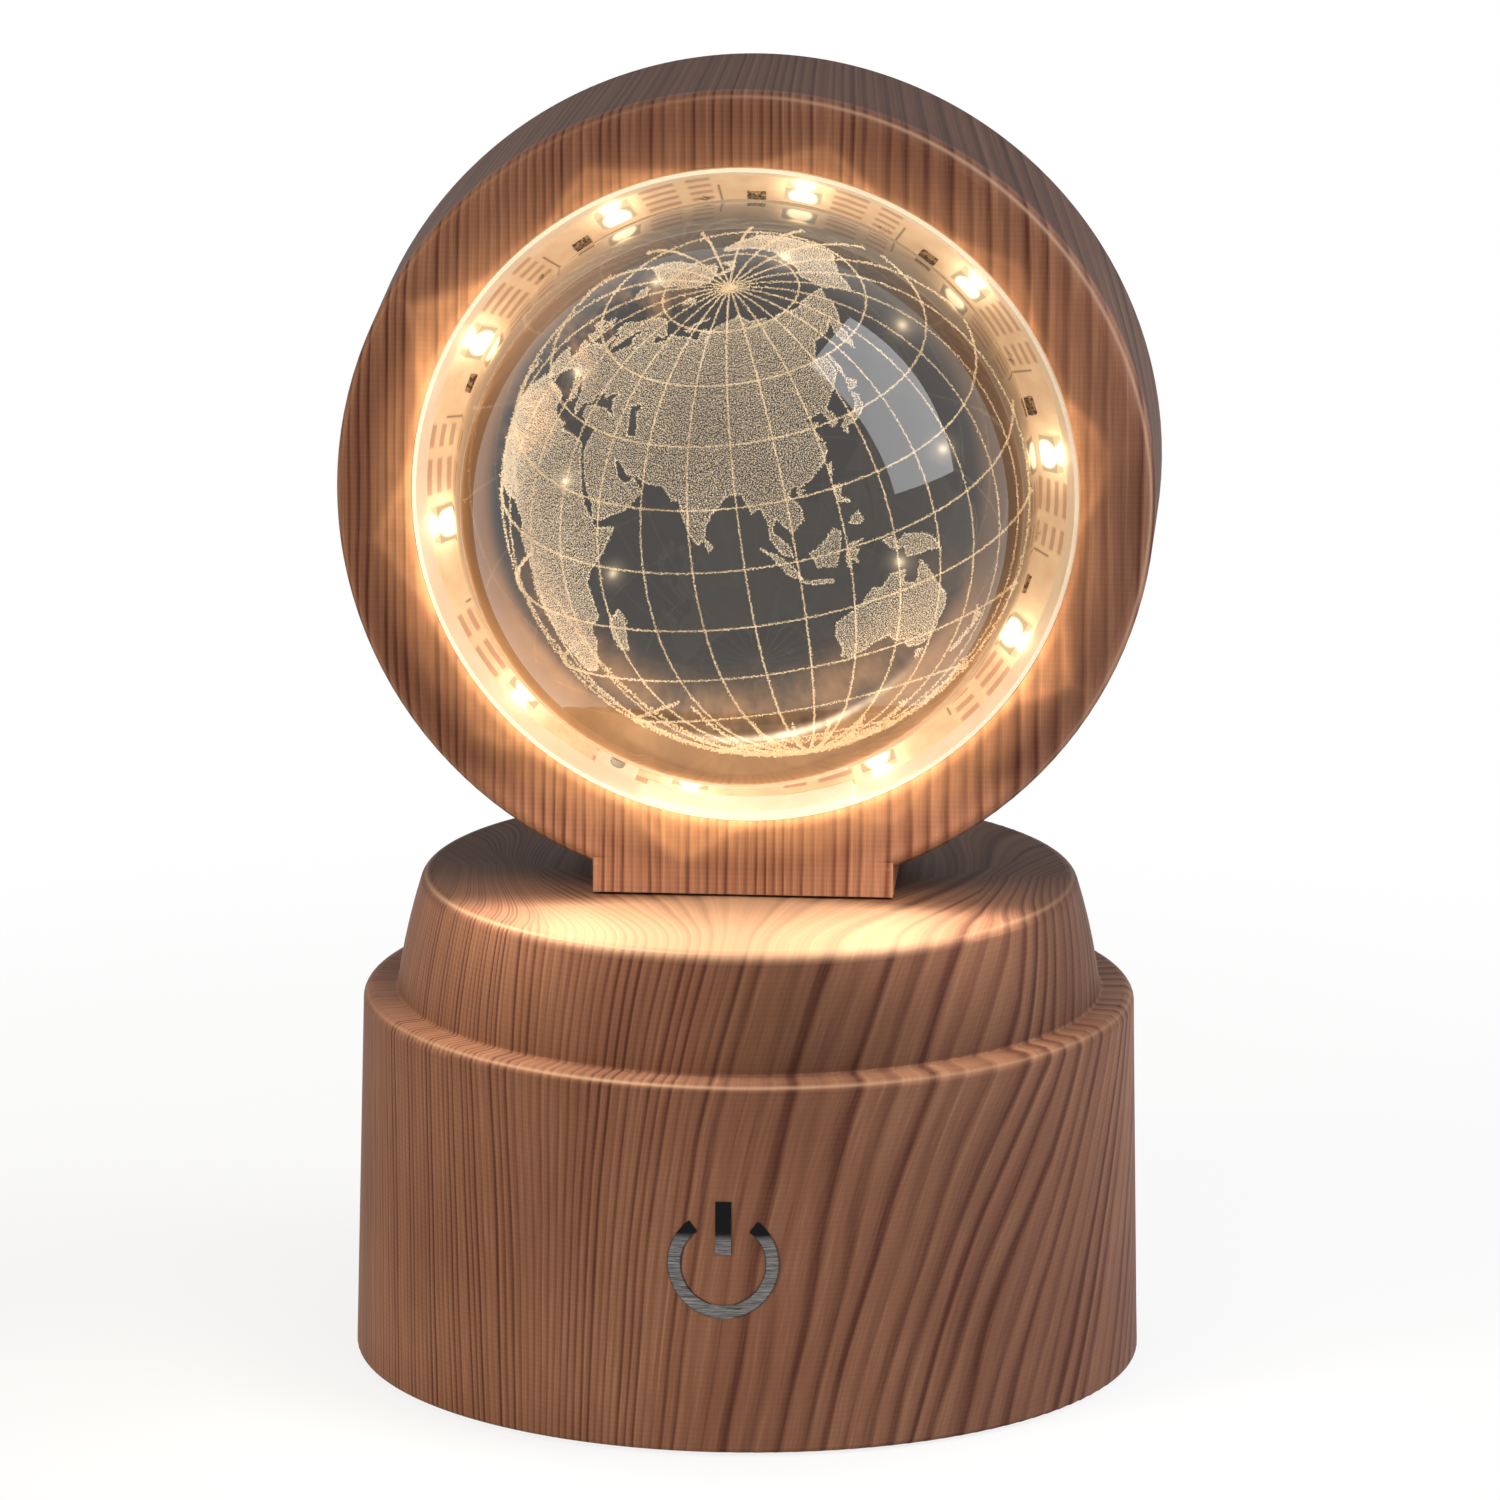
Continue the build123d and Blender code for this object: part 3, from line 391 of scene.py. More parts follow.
def wood_base():
    """Grain of both tiers: fine and upright at the left, broad and leaning right at the right."""
    mat = Shade("wood_film_base", {"Specular IOR Level": FILM_SPECULAR})
    x, y, z = mat.millimetres()
    aside = mat.size(x)
    radius = mat.length(x, y)
    on_top = mat.fit(z, *TOP_EDGE)

    # Grain: round the walls, and over the top, where it fans out towards the front
    turn = mat.math("ARCTAN2", x, mat.times(y, -1.0))
    wall = mat.times(turn, BASE_RADIUS)
    folded = mat.times(mat.math("ARCTAN2", x, mat.size(y)), BASE_RADIUS)
    level = mat.times(x, BASE_RADIUS / UPPER_RADIUS)
    top = mat.blend(mat.ease(radius, TOP_FOLD_FROM, UPPER_RADIUS), level, folded)
    flat = mat.blend(on_top, wall, top)
    facing = mat.ease(mat.size(turn), *BACK_TURNS, 1.0, 0.0)
    lean = mat.times(mat.fit(flat, *LEAN_PLACES, *LEANS), mat.most(facing, on_top))
    climb = mat.sum((z, 0.60), (z, z, 0.004))
    chord = mat.math("SQRT", mat.most(mat.minus(UPPER_RADIUS ** 2, mat.times(x, x)), 0.0))
    front_edge = mat.sum(y, chord)
    inward = mat.fit(front_edge, 0.0, FAN_DEPTH, 0.0, FAN_DEPTH)
    spread = mat.times(flat, FAN_RATE, inward, on_top)
    across = mat.minus(flat, mat.sum((lean, climb), spread))

    # Painted sheen on both rims, and painted light in front of the foot, where the strip's light falls
    slant = mat.minus(radius, z)
    rims = mat.sum(mat.bell(slant, UPPER_RADIUS - BASE_TOP, 0.30), mat.bell(slant, LEDGE_SLANT, 0.25))
    painted_light = mat.times(rims, mat.fit(mat.size(mat.sum(x, SHEEN_LEFT)), 0.0, 26.0, *SHEEN_SHARES))
    beside_foot = mat.sum(y, (aside, 0.25))
    painted_spill = mat.times(
        mat.ease(front_edge, *PAINTED_SPILL_DEPTHS, *PAINTED_SPILL_SHARES),
        on_top,
        mat.ease(aside, *PAINTED_SPILL_WIDTHS, 1.0, 0.0),
        mat.fall(beside_foot, *PAINTED_SPILL_ENDS),
    )

    # Painted shade at the right of the upper tier, and on the top beside and behind the foot
    right_wall = mat.times(mat.fit(flat, *WALL_PLACES), mat.fit(z, LEDGE_HEIGHT - 1.0, LEDGE_HEIGHT))
    right_wall = mat.most(mat.times(mat.minus(right_wall, on_top), WALL_PAINTED_SHADE), 0.0)
    behind = mat.times(mat.ease(beside_foot, *BEHIND_PLACES, 0.0, BEHIND_PAINTED_SHADE), on_top)
    painted_light = mat.most(painted_light, painted_spill)
    wood_film(mat, across, *BASE_LINES, painted_light=painted_light, painted_shade=mat.sum(behind, right_wall))
    return mat.material


# Film of the ring, as for the base, with painted sheen, painted shade and painted light; directions in
# degrees clockwise from the top
RING_LINES = (10.0, 1.2, 0.62)
GRAIN_SPREAD = 0.0075
FACE_TO_RIM = (0.6, 2.4)
SHEEN_TURN = 62.0
LIT_TURN = 95.0
CRESCENT_TURN = 208.0
EDGE_OUT = (33.2, 33.8)
EDGE_ABOVE = (RING_HEIGHT - 32.8, RING_HEIGHT - 32.2)
EDGE_SHARES = (0.10, 0.42)
RIM_ABOVE = (RING_HEIGHT - 30.0, RING_HEIGHT - 10.0)
RIM_PAINTED_SHADE = (-0.08, 0.50)
FOOT_TOP = (RING_HEIGHT - 34.0, RING_HEIGHT - 30.0)
FOOT_PAINTED_LIGHT = -0.24
RIGHT_PAINTED_LIGHT = -0.20
STROKE_BASE = 0.9
STROKE_REACH = 3.4
STROKE_WIDTH = 2.4
STROKE_EDGES = (10.0, -2.0)
RING_PAINTED_GLOW = 3.4


def wood_ring():
    """Upright grain of the ring, with painted light thrown on its face by the lit opening."""
    sockets = {"Specular IOR Level": FILM_SPECULAR, "Emission Strength": RING_PAINTED_GLOW}
    mat = Shade("wood_film_ring", sockets, lamp=False)
    x, y, z = mat.millimetres()
    around, out = mat.clock()
    depth = mat.minus(y, RING_FRONT)
    across = mat.times(x, mat.sum((depth, GRAIN_SPREAD), 1.0))

    # Painted sheen on the front edge, painted shade on the rim more than on the face, and painted light on
    # the face at the right and on the foot
    edge_line = mat.times(
        mat.bell(mat.sum(out, depth), RING_RADIUS, 0.28),
        mat.fit(out, *EDGE_OUT),
        mat.fit(z, *EDGE_ABOVE),
    )
    edge_share = mat.fit(mat.towards(around, SHEEN_TURN, 0.2, 0.95), 0.0, 1.0, *EDGE_SHARES)
    rim_share = mat.ease(depth, *FACE_TO_RIM, *RIM_PAINTED_SHADE)
    rim_share = mat.times(rim_share, mat.fit(z, *RIM_ABOVE))
    on_face = mat.ease(depth, *FACE_TO_RIM, 1.0, 0.0)
    on_foot = mat.fall(z, *FOOT_TOP)
    lit_right = mat.towards(around, LIT_TURN, 0.2, 0.9)
    painted_shade = mat.sum(rim_share, (lit_right, on_face, RIGHT_PAINTED_LIGHT), (on_foot, on_face, FOOT_PAINTED_LIGHT))
    colour = wood_film(mat, across, *RING_LINES, painted_light=mat.times(edge_line, edge_share), painted_shade=painted_shade)

    # Painted strokes of light from the diodes, narrower outwards, with a bright outline
    turned = mat.sum(around, mat.fit(mat.noise(0.08, detail=1.0), 0.3, 0.7, -3.0, 3.0))
    aside = mat.size(mat.beside_led(turned))
    pitches = mat.math("DIVIDE", mat.sum(turned, LED_PITCH / 2 - FIRST_LED), LED_PITCH)
    vary = mat.fit(mat.chance(mat.math("FLOOR", pitches), 2.3, 0.4), 0.38, 0.62, 0.45, 1.15)
    tip = mat.sum((vary, STROKE_REACH), LIP_RADIUS + STROKE_BASE)
    climbed = mat.math("DIVIDE", mat.minus(out, LIP_RADIUS), mat.minus(tip, LIP_RADIUS))
    edge = mat.fit(climbed, 0.0, 1.0, *STROKE_EDGES)
    stroke = mat.bell(aside, edge, STROKE_WIDTH)
    inside_stroke = mat.ease(mat.minus(edge, aside), -3.0, 5.0)
    reach = mat.fit(climbed, 0.0, 1.15, 1.0, 0.25)
    strokes = mat.times(mat.sum((stroke, 0.30), (inside_stroke, 0.30)), reach, vary)

    # Painted light along the lip and a wide halo, both strongest at the lower left
    crescent = mat.fit(mat.towards(around, CRESCENT_TURN, -0.5, 0.5), 0.0, 1.0, 0.25, 1.0)
    lip = mat.bell(out, LIP_RADIUS - 0.1, 0.6)
    halo = mat.ease(out, LIP_RADIUS, 33.0, 1.0, 0.0)
    front = mat.times(mat.fall(depth, 0.3, 1.0), mat.fall(out, 33.6, 34.4))
    mottle = mat.fit(mat.noise(0.16, detail=3.0, roughness=0.6), 0.34, 0.66, 0.72, 1.12)
    glow = mat.sum(strokes, (lip, crescent, 0.9), (halo, crescent, 0.45))
    lit = mat.mix(0.14, mat.mix(1.0, colour, PAINTED_GLOW_COLOUR, "MULTIPLY"), PAINTED_GLOW_COLOUR)
    mat.set("Emission Color", mat.scaled(lit, mat.times(glow, front, mottle)))
    return mat.material


def moulded(name, dark, light, roughness, grain=3.0, relief=0.02, sockets=None):
    """Moulded plastic or rubber: a fine even texture with a little change of tone."""
    mat = Shade(name, sockets)
    tone = mat.noise(0.12, detail=3.0, roughness=0.6)
    texture = mat.noise(grain, roughness=0.6)
    tones = ((0.35, dark), (0.65, light))
    mat.set("Base Color", mat.ramp(mat.sum((tone, 0.7), (texture, 0.3)), tones))
    mat.set("Roughness", mat.fit(texture, 0.3, 0.7, roughness - 0.06, roughness + 0.08))
    mat.bump(texture, 0.5, relief)
    return mat.material


def turned_metal(name, dark, light, roughness, rates):
    """Metal with fine tool marks, stretched by rates for x, y and z."""
    mat = Shade(name, {"Metallic": 1.0, "Anisotropic": 0.3})
    marks = mat.streaks(rates)
    tone = mat.sum((marks, 0.6), (mat.noise(0.35, detail=3.0), 0.4))
    mat.set("Base Color", mat.ramp(tone, ((0.3, dark), (0.7, light))))
    mat.set("Roughness", mat.fit(marks, 0.3, 0.7, roughness - 0.07, roughness + 0.1))
    mat.bump(marks, 0.35, 0.01)
    return mat.material


# Painted haze of light and painted glints of the ball, in a tilted plane; distances in millimetres
HAZE_TILT = math.radians(13.8)
GLINT_RIGHT = 1.7
GLINT_UP = 4.0
GLINT_RADIUS = 15.9
FIRST_GLINT = 11.3
GLINT_UNEVEN = 8.5
UNEVEN_TURN = 32.0
GLINTS_END = (142.0, 150.0)
STREAK_LEVELS = ((0.38, 0.66, 0.45, 1.15), (0.38, 0.66, 0.80, 1.06), (0.46, 0.66, 0.0, 1.2))
# Dark smoky tint of the glass: painted shade standing in for dark surroundings seen through it
GLASS_SHADE_TINTS = ((0.3, (0.033, 0.029, 0.026)), (0.7, (0.044, 0.039, 0.034)))
GLINT_COLOUR = (1.3, 1.0, 0.62)
GOLDEN_GLOW_COLOUR = (1.0, 0.48, 0.18)
LEFT_GLOW_COLOUR = (0.21, 0.085, 0.022)
GREY_GLOW_COLOUR = (0.10, 0.085, 0.07)
STREAK_GLOW_COLOUR = (1.4, 1.15, 0.80)

# Painted haze by direction: degrees clockwise from the top, and the cosines where it starts and is full
BELOW = (180.0, 0.15, 0.85)
LEFT = (268.0, 0.15, 0.85)
UPPER_LEFT = (308.0, 0.60, 0.95)
ABOVE = (350.0, 0.3, 0.95)
RIGHT = (95.0, 0.3, 0.95)


def painted_diode_glints(mat, right, up, depth):
    """Painted soft glints, reflections of the ten diodes inside the ball: a ring of spots, a little uneven
    in pitch.
    """
    right = mat.minus(right, GLINT_RIGHT)
    up = mat.minus(up, GLINT_UP)
    angle = mat.math("DEGREES", mat.math("ARCTAN2", right, up))
    uneven = mat.math("SINE", mat.math("RADIANS", mat.minus(angle, UNEVEN_TURN)))
    even = mat.minus(angle, mat.sum((uneven, GLINT_UNEVEN), FIRST_GLINT))
    fold = mat.math("FLOORED_MODULO", mat.sum(even, LED_PITCH / 2), LED_PITCH)
    beside = mat.times(mat.minus(fold, LED_PITCH / 2), math.radians(GLINT_RADIUS))
    off = mat.length(beside, mat.minus(mat.length(right, up), GLINT_RADIUS))
    spots = mat.sum((mat.bell(off, 0.0, 0.36), 0.48), (mat.bell(off, 0.0, 0.95), 0.15))
    return mat.times(spots, mat.fall(mat.size(angle), *GLINTS_END), mat.fall(depth, -6.0, -4.0))


def glass():
    """Glass with a dark smoky tint as painted shade, a painted golden haze of light near the lit strip, and
    painted glints of the diodes.
    """
    sockets = {"Transmission Weight": 1.0, "Roughness": 0.0, "IOR": 1.5, "Emission Strength": 1.0}
    mat = Shade("crystal_glass", sockets, lamp=False)
    mat.set("Base Color", mat.ramp(mat.noise(0.05, detail=1.0), GLASS_SHADE_TINTS))
    x, y, z = mat.millimetres()
    depth = mat.minus(y, BALL_DEPTH)
    rise = mat.sum((depth, math.sin(HAZE_TILT)), (mat.minus(z, RING_HEIGHT), math.cos(HAZE_TILT)))
    around, out = mat.clock(rise)
    streaks = mat.grain(0.6, (around, 0.16), (out, 0.30), 2.0, detail=3.0, roughness=0.7)
    patchy, calm, broken = (mat.fit(streaks, *levels) for levels in STREAK_LEVELS)
    rim = mat.ease(out, 20.0, 21.6)
    wide_rim = mat.ease(out, 17.5, 21.0)
    below = mat.towards(around, *BELOW)
    golden = mat.sum(
        (rim, below, calm, 0.38),
        (mat.bell(out, 18.6, 2.2), below, patchy, 0.30),
        (mat.bell(out, 17.5, 2.6), mat.towards(around, *UPPER_LEFT), broken, 0.22),
        (rim, mat.towards(around, *RIGHT), 0.10),
    )
    glow_streak = mat.times(mat.bell(out, 20.9, 0.28), mat.bell(around, 166.0, 19.0), patchy)
    parts = [mat.scaled(colour, amount) for amount, colour in (
        (painted_diode_glints(mat, x, rise, depth), GLINT_COLOUR),
        (golden, GOLDEN_GLOW_COLOUR),
        (mat.times(rim, mat.towards(around, *LEFT)), LEFT_GLOW_COLOUR),
        (mat.times(wide_rim, mat.towards(around, *ABOVE)), GREY_GLOW_COLOUR),
        (glow_streak, STREAK_GLOW_COLOUR),
    )]
    given = parts[0]
    for part in parts[1:]:
        given = mat.mix(1.0, given, part, "ADD")
    mat.set("Emission Color", given)
    return mat.material


def engraving(name, low, high, strength):
    """Frosty laser marks inside the glass, with a painted glow for the light from the rim."""
    sockets = {"Base Color": (0.6, 0.55, 0.45, 1), "Roughness": 0.8, "Emission Strength": strength}
    mat = Shade(name, sockets, lamp=False)
    pattern = mat.sum((mat.noise(4.0, roughness=0.8), 0.6), (mat.noise(0.10), 0.4))
    mat.set("Emission Color", mat.ramp(pattern, ((0.38, low), (0.60, high))))
    return mat.material


# Lit white plastic: painted glow away from and in the crescent, and the colours of painted shade in its
# depth
SEAT_GLOW = ((1.0, 0.66, 0.36), (1.0, 0.76, 0.50))
SEAT_SHADOW = ((0.42, 0.34, 0.28), (0.48, 0.34, 0.22))
SEAT_WHITE = (0.80, 0.74, 0.64)
CRESCENT_RANGE = (-0.35, 0.35)


def lit_plastic(name, low, high):
    """White plastic with a painted glow from the strip, from level low to high towards the lower left, and
    painted shade deeper in.
    """
    mat = Shade(name, {"Roughness": 0.45, "Emission Strength": 1.0}, lamp=False)
    around = mat.clock()[0]
    y = mat.millimetres()[1]
    crescent = mat.towards(around, CRESCENT_TURN, *CRESCENT_RANGE)
    lip = mat.ease(y, STRIP_REAR - 0.5, STRIP_REAR + 0.6, 1.0, 0.0)
    pulse = mat.ease(mat.size(mat.beside_led(around)), 0.0, 16.0, 1.0, 0.8)
    mottle = mat.fit(mat.noise(0.35, detail=3.0), 0.3, 0.7, 0.85, 1.08)
    spread = mat.fit(lip, 0.0, 1.0, 0.42, 1.0)
    amount = mat.times(mat.blend(crescent, low, high), spread, pulse, mottle)
    mat.set("Emission Color", mat.scaled(mat.mix(crescent, *SEAT_GLOW), amount))
    mat.set("Base Color", mat.mix(lip, mat.mix(crescent, *SEAT_SHADOW), SEAT_WHITE))
    mat.bump(mat.noise(2.0), 0.3, 0.01)
    return mat.material


# Flexible strip: colours, and degrees from a diode to the print
FILM_TONES = ((0.55, 0.40, 0.29), (0.66, 0.50, 0.37))
TRACE_COLOUR = (0.36, 0.21, 0.16)
PRINT_COLOUR = (0.08, 0.06, 0.05)
STRIP_GLOW_TINT = (1.0, 0.86, 0.62)
TRACE_ROWS = 4
TRACES = (((5.2, 5.8), (11.8, 12.4)), ((14.0, 14.6), (18.4, 19.0)))
CUT_MARK = 20.0
LABEL = 16.8


def strip_film():
    """Cream film of the strip, with printed traces, labels and cut marks between the diodes, and a painted
    glow.
    """
    mat = Shade("strip_film", {"Roughness": 0.35, "Emission Strength": 1.0}, lamp=False)
    around = mat.clock()[0]
    y = mat.millimetres()[1]
    past = mat.past_led(around)
    row = mat.fit(y, STRIP_FRONT, STRIP_REAR)
    traces = mat.fit(mat.math("SINE", mat.times(row, math.tau * TRACE_ROWS)), -0.2, 0.4)
    runs = [(mat.fit(past, *start), mat.fall(past, *end)) for start, end in TRACES]
    printed = mat.times(traces, mat.sum(*runs))
    cut = mat.times(mat.bell(past, CUT_MARK, 0.25), mat.fit(row, 0.3, 0.35))
    marks = mat.fit(mat.noise(2.2, detail=1.0), 0.50, 0.54)
    label = mat.times(mat.bell(past, LABEL, 1.0), mat.bell(row, 0.82, 0.10), marks)
    film = mat.mix(mat.fit(mat.noise(0.5, detail=3.0), 0.3, 0.7), *FILM_TONES)
    film = mat.mix(mat.times(printed, 0.75), film, TRACE_COLOUR)
    marked = mat.mix(mat.most(mat.times(cut, 0.7), label), film, PRINT_COLOUR)
    mat.set("Base Color", marked)
    # Painted glow: a crescent towards the lower left and a halo round each diode
    crescent = mat.towards(around, CRESCENT_TURN, *CRESCENT_RANGE)
    halo = mat.bell(mat.from_led(around, y), 0.0, 2.4)
    amount = mat.sum((crescent, 0.34), (halo, 2.4), 0.82)
    mat.set("Emission Color", mat.scaled(mat.mix(1.0, marked, STRIP_GLOW_TINT, "MULTIPLY"), amount))
    return mat.material


def strip_chip():
    """Small chips on the strip: tan bodies with dark print."""
    mat = Shade("strip_chip", {"Roughness": 0.4})
    print_share = mat.fit(mat.noise(3.4, detail=1.0), 0.53, 0.58)
    mat.set("Base Color", mat.mix(print_share, (0.50, 0.37, 0.27), (0.10, 0.07, 0.055)))
    return mat.material


# Diodes: radii of the bright window's edge in millimetres, and the share of its glow in the body
WINDOW_EDGE = (0.95, 1.50)
BODY_GLOW = 0.12
DIODE_GLOW = 3.2
DIODE_TONES = ((0.78, 0.66, 0.50), (0.9, 0.8, 0.45))
WARM_TONES = ((0.3, (1.0, 0.74, 0.40)), (0.7, (1.0, 0.84, 0.54)))


def phosphor():
    """Warm white diodes: a bright round window in a cream body."""
    mat = Shade("lit_phosphor", {"Roughness": 0.4, "Emission Strength": DIODE_GLOW})
    around = mat.clock()[0]
    y = mat.millimetres()[1]
    window = mat.ease(mat.from_led(around, y), *WINDOW_EDGE, 1.0, BODY_GLOW)
    mat.set("Base Color", mat.mix(window, *DIODE_TONES))
    mat.set("Emission Color", mat.scaled(mat.ramp(mat.noise(2.0), WARM_TONES), window))
    return mat.material


# Power symbol: its ring's middle and radius, and the height where a painted dark reflection starts, in
# millimetres
SYMBOL_HEIGHT = 16.85
SYMBOL_RADIUS = 4.18
SYMBOL_REFLECTION_FROM = 19.2
SILVER_TONES = ((0.35, (0.055, 0.05, 0.05)), (0.65, (0.26, 0.245, 0.235)))
FOIL_DARK_REFLECTION = (0.012, 0.012, 0.012)


def foil():
    """Brushed silver foil with fine level scratches, a painted dark reflection at its top, and dark along
    its outline.
    """
    mat = Shade("brushed_foil", {"Metallic": 1.0, "Anisotropic": 0.3})
    x, y, z = mat.millimetres()
    scratches = mat.streaks((0.5, 0.5, 9.0))
    above = mat.sum(z, mat.fit(scratches, 0.3, 0.7, -0.3, 0.3))
    dark_reflection = mat.fit(above, SYMBOL_REFLECTION_FROM - 0.3, SYMBOL_REFLECTION_FROM + 0.3)
    from_middle = mat.length(x, mat.minus(z, SYMBOL_HEIGHT))
    to_edge = mat.size(mat.minus(from_middle, SYMBOL_RADIUS))
    outline = mat.times(mat.fit(to_edge, 0.46, 0.56), mat.fit(mat.size(x), 0.9, 1.0), 0.8)
    silver = mat.ramp(scratches, SILVER_TONES)
    mat.set("Base Color", mat.mix(mat.most(dark_reflection, outline), silver, FOIL_DARK_REFLECTION))
    mat.set("Roughness", mat.fit(scratches, 0.3, 0.7, 0.25, 0.42))
    mat.bump(scratches, 0.35, 0.01)
    return mat.material


def board():
    """Green solder mask over a faint pattern of traces."""
    mat = Shade("board_green", {"Roughness": 0.35, "Coat Weight": 0.2})
    mat.millimetres()
    cells = mat.add("ShaderNodeTexVoronoi", mat.vector, feature="DISTANCE_TO_EDGE")
    mat.feed(cells.inputs["Scale"], 0.9)
    lines = cells.outputs["Distance"]
    mat.set("Base Color", mat.ramp(lines, ((0.02, (0.03, 0.16, 0.05)), (0.08, (0.012, 0.085, 0.03)))))
    mat.bump(lines, 0.3, 0.02)
    return mat.material


# Plastic and rubber: name, dark and light tone, roughness, and the nodes that wear it
LEADS = ("ring_lead", "lead_splice", "tail_lead", "cell_lead", "touch_lead")
MOULDED = (
    ("black_plastic", (0.014, 0.013, 0.013), (0.024, 0.023, 0.022), 0.52, ("bottom_plate", "rear_cover")),
    ("lead_jacket", (0.45, 0.44, 0.42), (0.55, 0.54, 0.52), 0.45, LEADS),
    ("acetal", (0.66, 0.64, 0.58), (0.76, 0.74, 0.68), 0.35, ("swivel_bush", "thrust_washer")),
    ("chip_black", (0.016, 0.016, 0.017), (0.03, 0.03, 0.032), 0.4, ("board_parts",)),
    ("plug_white", (0.62, 0.60, 0.55), (0.74, 0.72, 0.67), 0.4, ("lead_plugs",)),
    ("rubber_grey", (0.05, 0.05, 0.052), (0.075, 0.075, 0.078), 0.75, ("rubber_feet",)),
    ("cell_wrap", (0.03, 0.10, 0.26), (0.05, 0.14, 0.34), 0.35, ("battery_cell",)),
)
FOAM = ("foam", (0.05, 0.05, 0.05), (0.10, 0.10, 0.10), 0.9)
BOND = ("clear_bond", (0.72, 0.70, 0.64), (0.82, 0.80, 0.74), 0.2)
# The bond glows faintly warm: painted light from the strip
BOND_SOCKETS = {
    "Transmission Weight": 0.6, "IOR": 1.45,
    "Emission Color": (1.0, 0.66, 0.36, 1.0), "Emission Strength": 0.18,
}

# Metal: name, dark and light tone, roughness, and stretch of the tool marks
COPPER = ("copper", (0.62, 0.30, 0.18), (0.80, 0.42, 0.27), 0.32, (1.0, 1.0, 8.0))
STEEL = ("steel", (0.36, 0.35, 0.34), (0.62, 0.61, 0.59), 0.30, (2.0, 2.0, 9.0))
STEEL_NODES = (
    "bottom_screws", "cover_screws", "board_screws", "flange_screws", "charging_socket",
    "swivel_spindle", "stop_washer", "disc_spring", "swivel_nut",
)

# Engraved marks: dim and bright colour, and strength of their painted glow
GRID_MARKS = ((0.36, 0.25, 0.12), (1.0, 0.79, 0.50), 4.2)
LAND_MARKS = ((0.60, 0.49, 0.35), (1.0, 0.84, 0.60), 4.2)
COAST_MARKS = ((0.45, 0.36, 0.22), (1.0, 0.86, 0.60), 4.6)


def dress():
    """Gives every CAD node its material."""
    finishes = {
        "base_shell": wood_base(),
        "ring_housing": wood_ring(),
        "crystal_ball": glass(),
        "globe_engraving": engraving("engraved_grid", *GRID_MARKS),
        "light_seat": lit_plastic("lit_plastic", 0.44, 0.68),
        "strip_end_cover": lit_plastic("lit_cover", 0.80, 0.86),
        "light_strip": strip_film(),
        "diodes": phosphor(),
        "strip_resistors": strip_chip(),
        "touch_symbol": foil(),
        "touch_pad": turned_metal(*COPPER),
        "control_board": board(),
        "battery_foam": moulded(*FOAM, grain=1.5, relief=0.2),
        "ball_bead": moulded(*BOND, sockets=BOND_SOCKETS),
    }
    finishes.update(dict.fromkeys(STEEL_NODES, turned_metal(*STEEL)))
    for *look, wearers in MOULDED:
        finishes.update(dict.fromkeys(wearers, moulded(*look)))
    for name, finish in finishes.items():
        for material_slot in nodes[name].material_slots:
            material_slot.material = finish
    return finishes


finishes = dress()


def keep(mesh, name, finish):
    """Links a finished mesh as a piece that rides on the head."""
    piece = bpy.data.objects.new(name, mesh)
    scene.collection.objects.link(piece)
    mesh.materials.append(finish)
    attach(piece, "head")
    return piece


# Steps of the ball's half circle and of its turn, and the gap in radii within which points are one
BALL_STEPS = 96
BALL_TURNS = 192
BALL_WELD = 1e-5


def glass_ball():
    """The glass ball, turned from a half circle."""
    work = bmesh.new()
    arc = []
    for step in range(BALL_STEPS + 1):
        angle = math.pi * step / BALL_STEPS
        arc.append(work.verts.new((BALL_RADIUS * math.sin(angle), 0, BALL_RADIUS * math.cos(angle))))
    edges = [work.edges.new(pair) for pair in zip(arc, arc[1:])]
    bmesh.ops.spin(work, geom=arc + edges, cent=(0, 0, 0), axis=(0, 0, 1), angle=math.tau, steps=BALL_TURNS)
    bmesh.ops.remove_doubles(work, verts=work.verts, dist=BALL_RADIUS * BALL_WELD)
    bmesh.ops.translate(work, verts=work.verts, vec=BALL_CENTRE)
    bmesh.ops.recalc_face_normals(work, faces=work.faces)
    for face in work.faces:
        face.smooth = True
    mesh = bpy.data.meshes.new("glass_ball")
    work.to_mesh(mesh)
    work.free()
    ball = keep(mesh, "glass_ball", finishes["crystal_ball"])
    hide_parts("crystal_ball")


glass_ball()


